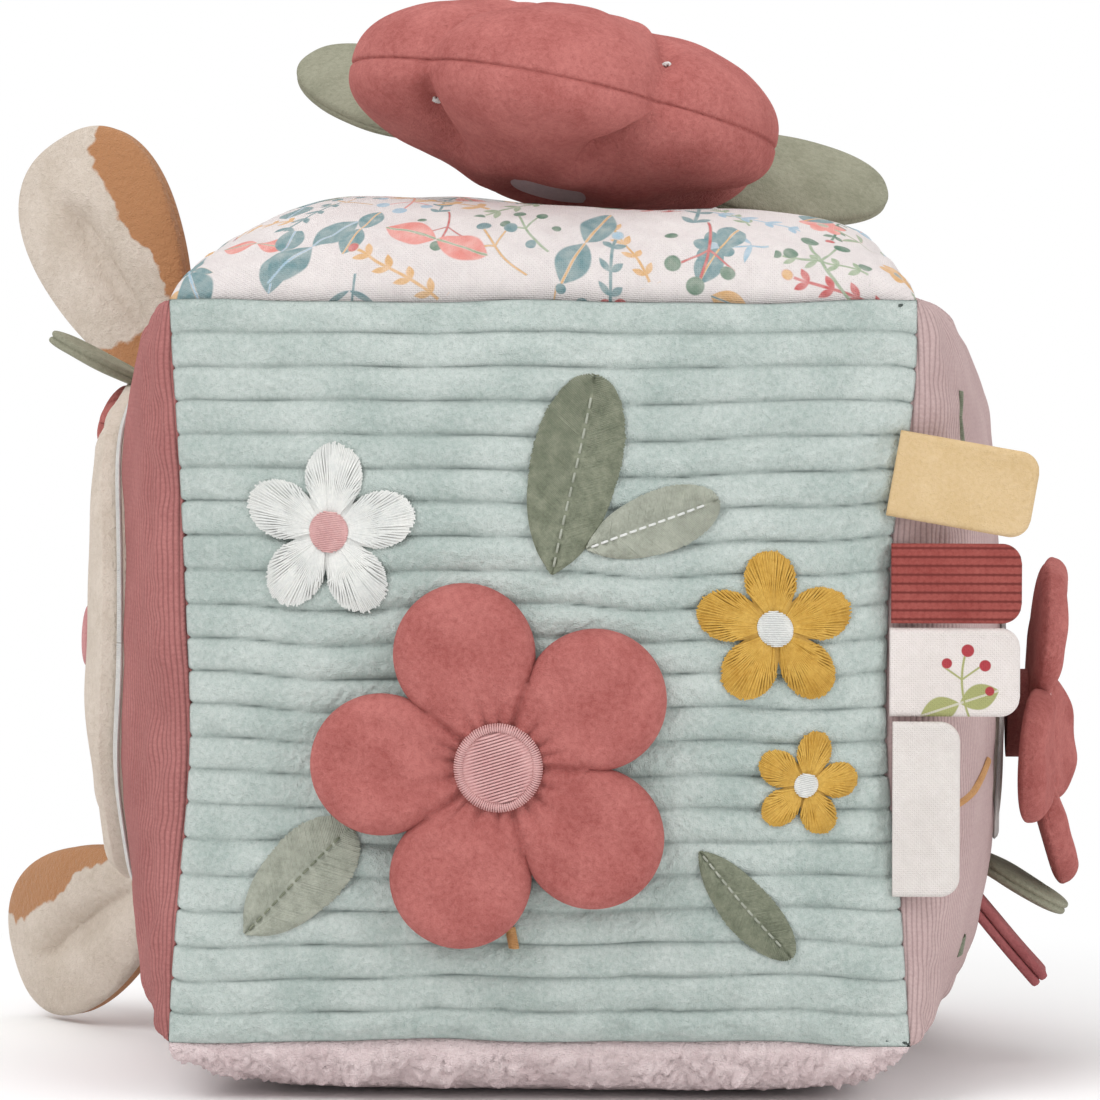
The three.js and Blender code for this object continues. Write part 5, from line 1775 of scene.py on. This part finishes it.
@dataclass
class Head:
    """Padded animal head on the left side, with its ears, a leaf and a small flower."""

    shop: Workshop
    spot: tuple[float, float] = (-2.025, 3.975)
    half_width: float = 47.0
    half_height: float = 54.0
    margin: float = 2.4
    base_height: float = 1.2
    rim: float = 2.5
    height: float = 7.0

    def build(self) -> None:
        """Makes the head and all that is sewn to it."""
        self.base()
        self.pad()
        self.patch("head_crown", "crown_patch", (-0.51, 0.0), oval(13, 15, 64), 2.4, BROWN)
        self.patch("head_nose", "nose", (0.468, 0.0), oval(4.5, 6, 48), 1.5, NOSE)
        bloom = flower_outline(7.0, 0.55, 90, 80)
        self.patch("head_bloom", "small_flower", (0.128, 0.83), bloom, 2.8, CORAL)
        self.eyes()
        self.ear("upper", (-0.42, 0.3, 0.86), (-0.35, -0.93, 0.1), 9.5, -8.5)
        self.ear("lower", (-0.62, 0.69, -0.35), (-0.75, -0.63, -0.09), 5.0, -9.0)
        Leaf(self.shop, "head_leaf", "head_leaf_flap", *sloped(-27, -1), 20, 17, 2.0).build()

    def share(self, x: Array, y: Array) -> Array:
        """Share of the head's outline at a place from its middle."""
        return np.hypot(x / self.half_width, y / self.half_height)

    def surface(self, x: Array, y: Array) -> Array:
        """Height of the padded head over the side's skin, at a place from its middle."""
        return self.base_height + 0.4 + self.rim + (self.height - self.rim) * rounded(np.clip(self.share(x, y), 0, 1))

    def base(self) -> None:
        """Flat backing with a satin-stitched edge."""
        place = BLOCK.on(BLOCK.left, *self.spot)
        outline = oval(self.half_width + self.margin, self.half_height + self.margin, 120)
        shape = ring_shares(14), place, plane(self.base_height * 0.8), plane(-0.5)
        self.shop.pad("head_backing", outline, *shape, CREAM, ["head_base"])
        edge = satin_line(closed(outline * 0.985), 2.6, place)
        self.shop.stitch("head_border", [row - [0.9, 0, 0] for row in edge], 0.26, SILVER)

    def pad(self) -> None:
        """Padded face, gathered at its edge."""
        place = BLOCK.on(BLOCK.left, *self.spot)

        def upper(x: Array, y: Array, share: Array) -> Array:
            """Height of the face."""
            angle = np.arctan2(y, x)
            gather = 0.5 * np.sin(angle * 23 + 2 * np.sin(angle * 5)) * np.exp(-(((share - 0.93) / 0.06) ** 2))
            wave = 0.35 * Ripple(24.0, 101)(spots(x, y))
            edge = soft_step(1 - share, 0.0, 0.05)
            low = self.base_height + 0.4 + self.rim * 0.35 * (1 - edge)
            return np.where(share > 0.999, low, self.surface(x, y) + (gather + wave) * edge)

        shape = ring_shares(30), place, upper, plane(self.base_height * 0.5)
        self.shop.pad("head_face", oval(self.half_width, self.half_height, 180), *shape, CREAM, ["head_pad"], 0.6)

    def patch(
        self, node: str, name: str, shares: tuple[float, float], outline: Array, height: float, finish: Finish
    ) -> None:
        """Small padded patch sewn to the face.

        Args:
            node: the CAD node that it stands for.
            name: its own name.
            shares: its place, as shares of the head's half width and half height.
            outline: its edge.
            height: how high it stands.
            finish: its fabric.
        """
        x0, y0 = shares[0] * self.half_width, shares[1] * self.half_height
        place = BLOCK.on(BLOCK.left, self.spot[0] + x0, self.spot[1] + y0)
        self.shop.pad(
            name, outline, ring_shares(9), place,
            lambda x, y, share: self.surface(x + x0, y + y0) + 0.3 + (height - 0.3) * rounded(share),
            lambda x, y, share: self.surface(x + x0, y + y0) - 0.6, finish, [node], 0.6
        )

    def eyes(self) -> None:
        """Two closed eyes, each one curved line of stitches."""
        place = BLOCK.on(BLOCK.left, *self.spot)
        arc = np.linspace(-1, 1, 24)
        rows = []
        for side in (-1, 1):
            line = np.stack([6.0 + 3.0 * (1 - arc**2), side * 20.5 + 5.5 * arc], -1)
            for stitch in satin_line(line, 1.3, lambda x, y, height: np.stack([x, y, height], -1), 0.4):
                x, y = stitch[:, 0], stitch[:, 1]
                rows.append(place(x, y, self.surface(x, y) + stitch[:, 2]))
        self.shop.stitch("closed_eyes", rows, 0.22, DARK_THREAD)

    def ear(self, name: str, reach: Triple, facing: Triple, root_band: float, side_band: float) -> None:
        """Ear of a cream lining and a brown back, folded down its middle.

        Args:
            name: upper or lower.
            reach: the way that it points.
            facing: the way that its lining faces.
            root_band: how far brown fur runs over the lining from its root.
            side_band: where brown fur begins at its side.
        """
        length, width, thickness = 57.0, 43.0, 5.2
        stand = Stand(self.shop.hinge(f"ear_{name}_bend"), reach, facing)
        outline = leaf_outline(length, width, 0.8, 110)
        outline[:, 1] *= 0.62 + 0.38 * (1 + np.cos(turns(110))) / 2

        def place(x: Array, y: Array, height: Array) -> Array:
            """Points of the ear, whose root end reaches 1.5 mm back past its hinge."""
            return stand.place(x + length / 2 - 1.5 * (x < 0) * (x * -2 / length), y, height)

        def rise(x: Array, y: Array, share: Array, face: int) -> Array:
            """Height of the lining or the back."""
            wave = 0.3 * Ripple(15.0, 105)(spots(x, y, face * 9.0))
            if face < 0:
                return thickness + wave
            lean = y - 1.5 - 0.12 * x
            fold = np.exp(-((lean / 4.2) ** 2)) + 0.5 * np.exp(-((lean / 1.3) ** 2))
            inner = soft_step(x, -length * 0.62, -length * 0.2) * (1 - soft_step(x, length * 0.05, length * 0.36))
            return thickness + wave - 3.6 * fold * inner

        def marks(x: Array, y: Array) -> dict[str, Array]:
            """Where the fur is brown: along one side and near the root."""
            flat = spots(x, y)
            wander = 1.6 * Ripple(16.0, 107)(flat) + 0.7 * Ripple(3.0, 108, 30)(flat)
            beside = soft_step(side_band - y + wander, -2.0, 2.0)
            rooted = soft_step(root_band - (x + length / 2) + wander, -2.0, 2.0)
            return {"patch": np.maximum(beside, rooted)}

        piece = seamed_pad(
            f"ear_{name}", outline, place, rise, 1.4, self.shop.cloth(EAR), rings=22, groove=0.3, marks=marks
        )
        patch = np.zeros(len(piece.data.vertices), np.float32)
        piece.data.attributes["patch"].data.foreach_get("value", patch)
        patch[len(patch) // 2 :] = 1.0
        piece.data.attributes["patch"].data.foreach_set("value", patch)
        self.shop.inflate(piece, 1.0)
        nodes = [f"ear_{name}_back", f"ear_{name}_lining"]
        self.shop.hang(piece, f"ear_{name}", stand, (-2.0, 3.0), EAR, nodes, 0.4)


@dataclass
class TopFlower:
    """Stuffed flower that leans on the top, with its discs, dots, leaves and ribbon."""

    shop: Workshop
    centre: Triple = (2.025, -18.0, 200.3)
    tilt: float = 11.6
    pitch: float = -10.0
    radius: float = 46.5
    half_thickness: float = 19.2
    notch_share: float = 0.88
    turn: float = 262.5
    crease: float = 11.0
    swirl: float = 0.5
    seam_drop: float = 2.5
    flatten: float = 3.1
    tuft: float = 4.0
    dot_share: float = 0.7
    disc_radius: float = 10.5

    def build(self) -> None:
        """Makes the flower and what is sewn to it."""
        stand = self.stand()
        flower = seamed_pad(
            "stuffed_flower", flower_outline(self.radius, self.notch_share, self.turn, 150), self.place, self.rise,
            0.8, self.shop.cloth(CORAL), rings=30, groove=0.9
        )
        self.shop.inflate(flower, 1.2)
        self.shop.settle(flower, "top_flower", CORAL.slot, ["top_flower"], 0.95)
        self.discs(stand)
        self.dots(stand)
        self.leaves(stand)
        self.ribbon()

    def stand(self) -> Stand:
        """The flower's own frame, turned by its tilt and its pitch."""
        tilt, pitch = self.tilt * DEGREE, self.pitch * DEGREE
        reach = (math.cos(tilt), 0, -math.sin(tilt))
        facing = (math.sin(tilt) * math.cos(pitch), -math.sin(pitch), math.cos(tilt) * math.cos(pitch))
        return Stand(self.centre, reach, facing)

    def rise(self, x: Array, y: Array, share: Array, side: int) -> Array:
        """Height of a face, creased from each dot out to the seam."""
        radius, angle = np.hypot(x, y), np.arctan2(y, x) - self.turn * DEGREE
        petal = 2 * math.pi / PETALS
        off = angle / petal - 0.5
        off = (off - np.round(off)) * petal
        lean = off - side * self.swirl * (1 - share)
        away = np.abs(radius * np.sin(np.clip(lean, -1.5, 1.5)))
        lobe = np.clip(np.abs(lean) / (petal / 2), 0, 1)
        valley = (1 - np.sqrt(1 - (1 - lobe) ** 2)) * 0.8 + np.exp(-((away / 1.5) ** 2)) * 0.2
        reach = soft_step(share, self.dot_share - 0.36, self.dot_share + 0.04)
        height = self.half_thickness - self.crease * valley * reach
        height = height - (side < 0) * self.flatten * soft_step(share, 0.25, 0.6)
        dimple = np.exp(-(((radius - self.dot_share * self.radius) ** 2 + away**2) / 9.0))
        tuft = self.tuft * np.exp(-((share / 0.25) ** 2))
        wave = 0.35 * Ripple(13.0, 111)(spots(x, y, 40.0 * side))
        return height + wave - 0.8 * dimple - tuft

    def place(self, x: Array, y: Array, height: Array) -> Array:
        """Points of the flower, whose seam hangs a little at its front."""
        front = np.clip(-y / self.radius, 0, 1) * (np.hypot(x, y) / self.radius) ** 4
        return self.stand().place(x, y, height - self.seam_drop * front)

    def top(self, x: float, y: float, side: int) -> float:
        """Height of a face at one place."""
        angle = math.atan2(y, x)
        edge = float(flower_reach(np.array(angle - self.turn * DEGREE), self.radius, self.notch_share))
        share = math.hypot(x, y) / edge
        rise = float(self.rise(np.array(x), np.array(y), np.array(share), side))
        return 0.8 + (rise - 0.8) * float(rounded(np.array(share), 0.4))

    def discs(self, stand: Stand) -> None:
        """Pale disc at the middle of each face."""
        for side, node in ((1, "top_flower_disc"), (-1, "top_flower_disc_under")):
            top = self.top(self.disc_radius * 0.8, 0, side)
            shape = stand.place, dome(side * (top - 1), side * (top + 1)), plane(side * (top - 2.4))
            outline = oval(self.disc_radius, self.disc_radius, 64)
            self.shop.pad(f"{node}_felt", outline, ring_shares(8), *shape, FELT, [node], body="top_flower")

    def dots(self, stand: Stand) -> None:
        """White knots where the creases begin."""
        rows = []
        for side in (1, -1):
            for index in range(PETALS):
                turned = side * self.swirl * (1 - self.dot_share)
                angle = self.turn * DEGREE + (index + 0.5) * 2 * math.pi / PETALS + turned
                x = self.dot_share * self.radius * math.cos(angle)
                y = self.dot_share * self.radius * math.sin(angle)
                high = self.top(x, y, side)
                for step in np.linspace(-1.2, 1.2, 6):
                    reach = math.sqrt(1.8 - step * step)
                    line = np.linspace(-reach, reach, 5)
                    bow = 0.7 * np.sqrt(np.clip(1 - (line / reach) ** 2, 0, 1))
                    rows.append(self.place(x + line, y + step + 0 * line, side * (high + 0.8 + bow)))
        self.shop.stitch("flower_dots", rows, 0.4, WHITE_THREAD, "top_flower")

    def leaves(self, stand: Stand) -> None:
        """Two plush leaves sewn into the flower's seam."""
        x, y, z = stand.axes()

        def turned(way: Triple) -> Triple:
            """A direction of the flower's frame in the block's."""
            return tuple(way[0] * x + way[1] * y + way[2] * z)

        facing = turned((0, -0.8, 0.6))
        for name, reach, length in (("left", (-0.87, 0.5, 0.26), 44.0), ("right", (1.0, 0.36, 0.15), 48.0)):
            leaf = Leaf(
                self.shop, f"top_leaf_{name}", f"top_leaf_{name}_flap", turned(reach), facing, length, 26.0, 3.1,
                parent="top_flower", taper=0.85, seam=False, bend_reach=3.0
            )
            leaf.build()

    def ribbon(self) -> None:
        """Short ribbon that holds the flower."""
        foot = np.array(self.shop.hinge("top_tether_rock"))
        stand = Stand(tuple(foot - [0, 0, 0.4]), (0, 0, 1), (0, -1, 0))
        piece = ribbon("top_ribbon", 6.4, 8, 1.0, stand.place, 0.8, self.shop.cloth(SAGE))
        self.shop.settle(piece, "top_tether", "sage_plush", ["top_tether"])


# Stage


@dataclass
class Studio:
    """Camera, pale floor and soft lights."""

    turn: float = 3.0
    rise: float = 3.0
    distance: float = 1100.0
    lens: float = 168.7
    target: Triple = (-2.5, 0.0, 107.7)

    def build(self) -> None:
        """Sets the scene round the object."""
        self.camera()
        self.floor()
        self.light("key", (-700, -900, 1150), 900, 11.0)
        self.light("fill", (900, -700, 500), 900, 4.5)
        self.light("over", (0, 250, 1300), 1000, 5.0)
        self.world()
        bpy.context.scene.view_settings.view_transform = "Standard"

    def camera(self) -> None:
        """Camera at the photograph's angle."""
        data = bpy.data.cameras.new("camera")
        data.lens = self.lens
        data.sensor_width = 36.0
        data.clip_start = 0.05
        camera = link("camera", data)
        turn, rise = self.turn * DEGREE, self.rise * DEGREE
        away = np.array([math.sin(turn) * math.cos(rise), -math.cos(turn) * math.cos(rise), math.sin(rise)])
        camera.location = (np.array(self.target) + away * self.distance) * MM
        camera.rotation_euler = (math.pi / 2 - rise, 0, turn)
        bpy.context.scene.camera = camera

    @staticmethod
    def floor() -> None:
        """Pale floor that keeps the object's shadow."""
        mesh = bpy.data.meshes.new("floor")
        size = 6.0
        mesh.from_pydata([(-size, -size, 0), (size, -size, 0), (size, size, 0), (-size, size, 0)], [], [(0, 1, 2, 3)])
        material = bpy.data.materials.new("floor_paint")
        graph = fresh(material)
        paint = {"Base Color": (0.96, 0.96, 0.96, 1), "Roughness": 0.9, "Specular IOR Level": 0.0}
        shader = graph.add("ShaderNodeBsdfPrincipled", paint)
        white = graph.add("ShaderNodeEmission", {"Color": (1, 1, 1, 1), "Strength": 1.0})
        spot = graph.add("ShaderNodeTexCoord").outputs["Object"]
        away = graph.add("ShaderNodeVectorMath", {0: spot}, operation="LENGTH").outputs["Value"]
        seen = graph.add("ShaderNodeLightPath").outputs["Is Camera Ray"]
        far = graph.math("MULTIPLY", graph.spread(away, 0.11, 0.24), seen)
        graph.add("ShaderNodeOutputMaterial", {"Surface": graph.blend(far, shader, white)})
        mesh.materials.append(material)
        link("floor", mesh)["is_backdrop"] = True

    @staticmethod
    def light(name: str, place: Triple, size: float, power: float) -> None:
        """Square soft light that looks at the block."""
        data = bpy.data.lights.new(name, "AREA")
        data.size = size * MM
        data.energy = power
        lamp = link(name, data)
        lamp.location = np.array(place) * MM
        away = np.array(place, float) - np.array([0, 0, 90])
        rise = math.atan2(away[2], math.hypot(away[0], away[1]))
        lamp.rotation_euler = (math.pi / 2 - rise, 0, math.atan2(away[0], -away[1]))

    @staticmethod
    def world() -> None:
        """Even light from all round, white behind the object."""
        world = bpy.data.worlds.new("studio")
        bpy.context.scene.world = world
        graph = fresh(world)
        lit, seen = (
            graph.add("ShaderNodeBackground", {"Color": (1, 1, 1, 1), "Strength": power}) for power in (0.62, 1.0)
        )
        camera_ray = graph.add("ShaderNodeLightPath").outputs["Is Camera Ray"]
        graph.add("ShaderNodeOutputWorld", {"Surface": graph.blend(camera_ray, lit, seen)})


def main() -> None:
    """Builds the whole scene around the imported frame."""
    logging.basicConfig(level=logging.INFO, format="%(message)s")
    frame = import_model()
    cad_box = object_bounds()
    shop = Workshop(frame, Effects(), Threads())
    Studio().build()
    Panels(shop).build()
    Embroidery(shop).build()
    front = (-8.175, -83.3, BLOCK.middle - 17.775)
    turn = 107 * DEGREE
    stand = Stand(front, (math.cos(turn), 0, math.sin(turn)), (0, -1, 0))
    PlushFlower(shop, "front_flower", "front", stand, (0, 0, 0, 0, 0)).build()
    Tabs(shop).build()
    RightSide(shop).build()
    Head(shop).build()
    TopFlower(shop).build()
    bpy.context.view_layer.update()
    boxes = [[list(map(float, corner)) for corner in box] for box in (cad_box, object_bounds())]
    LOG.info("%d pieces", len(shop.pieces))


if __name__ == "__main__":
    main()
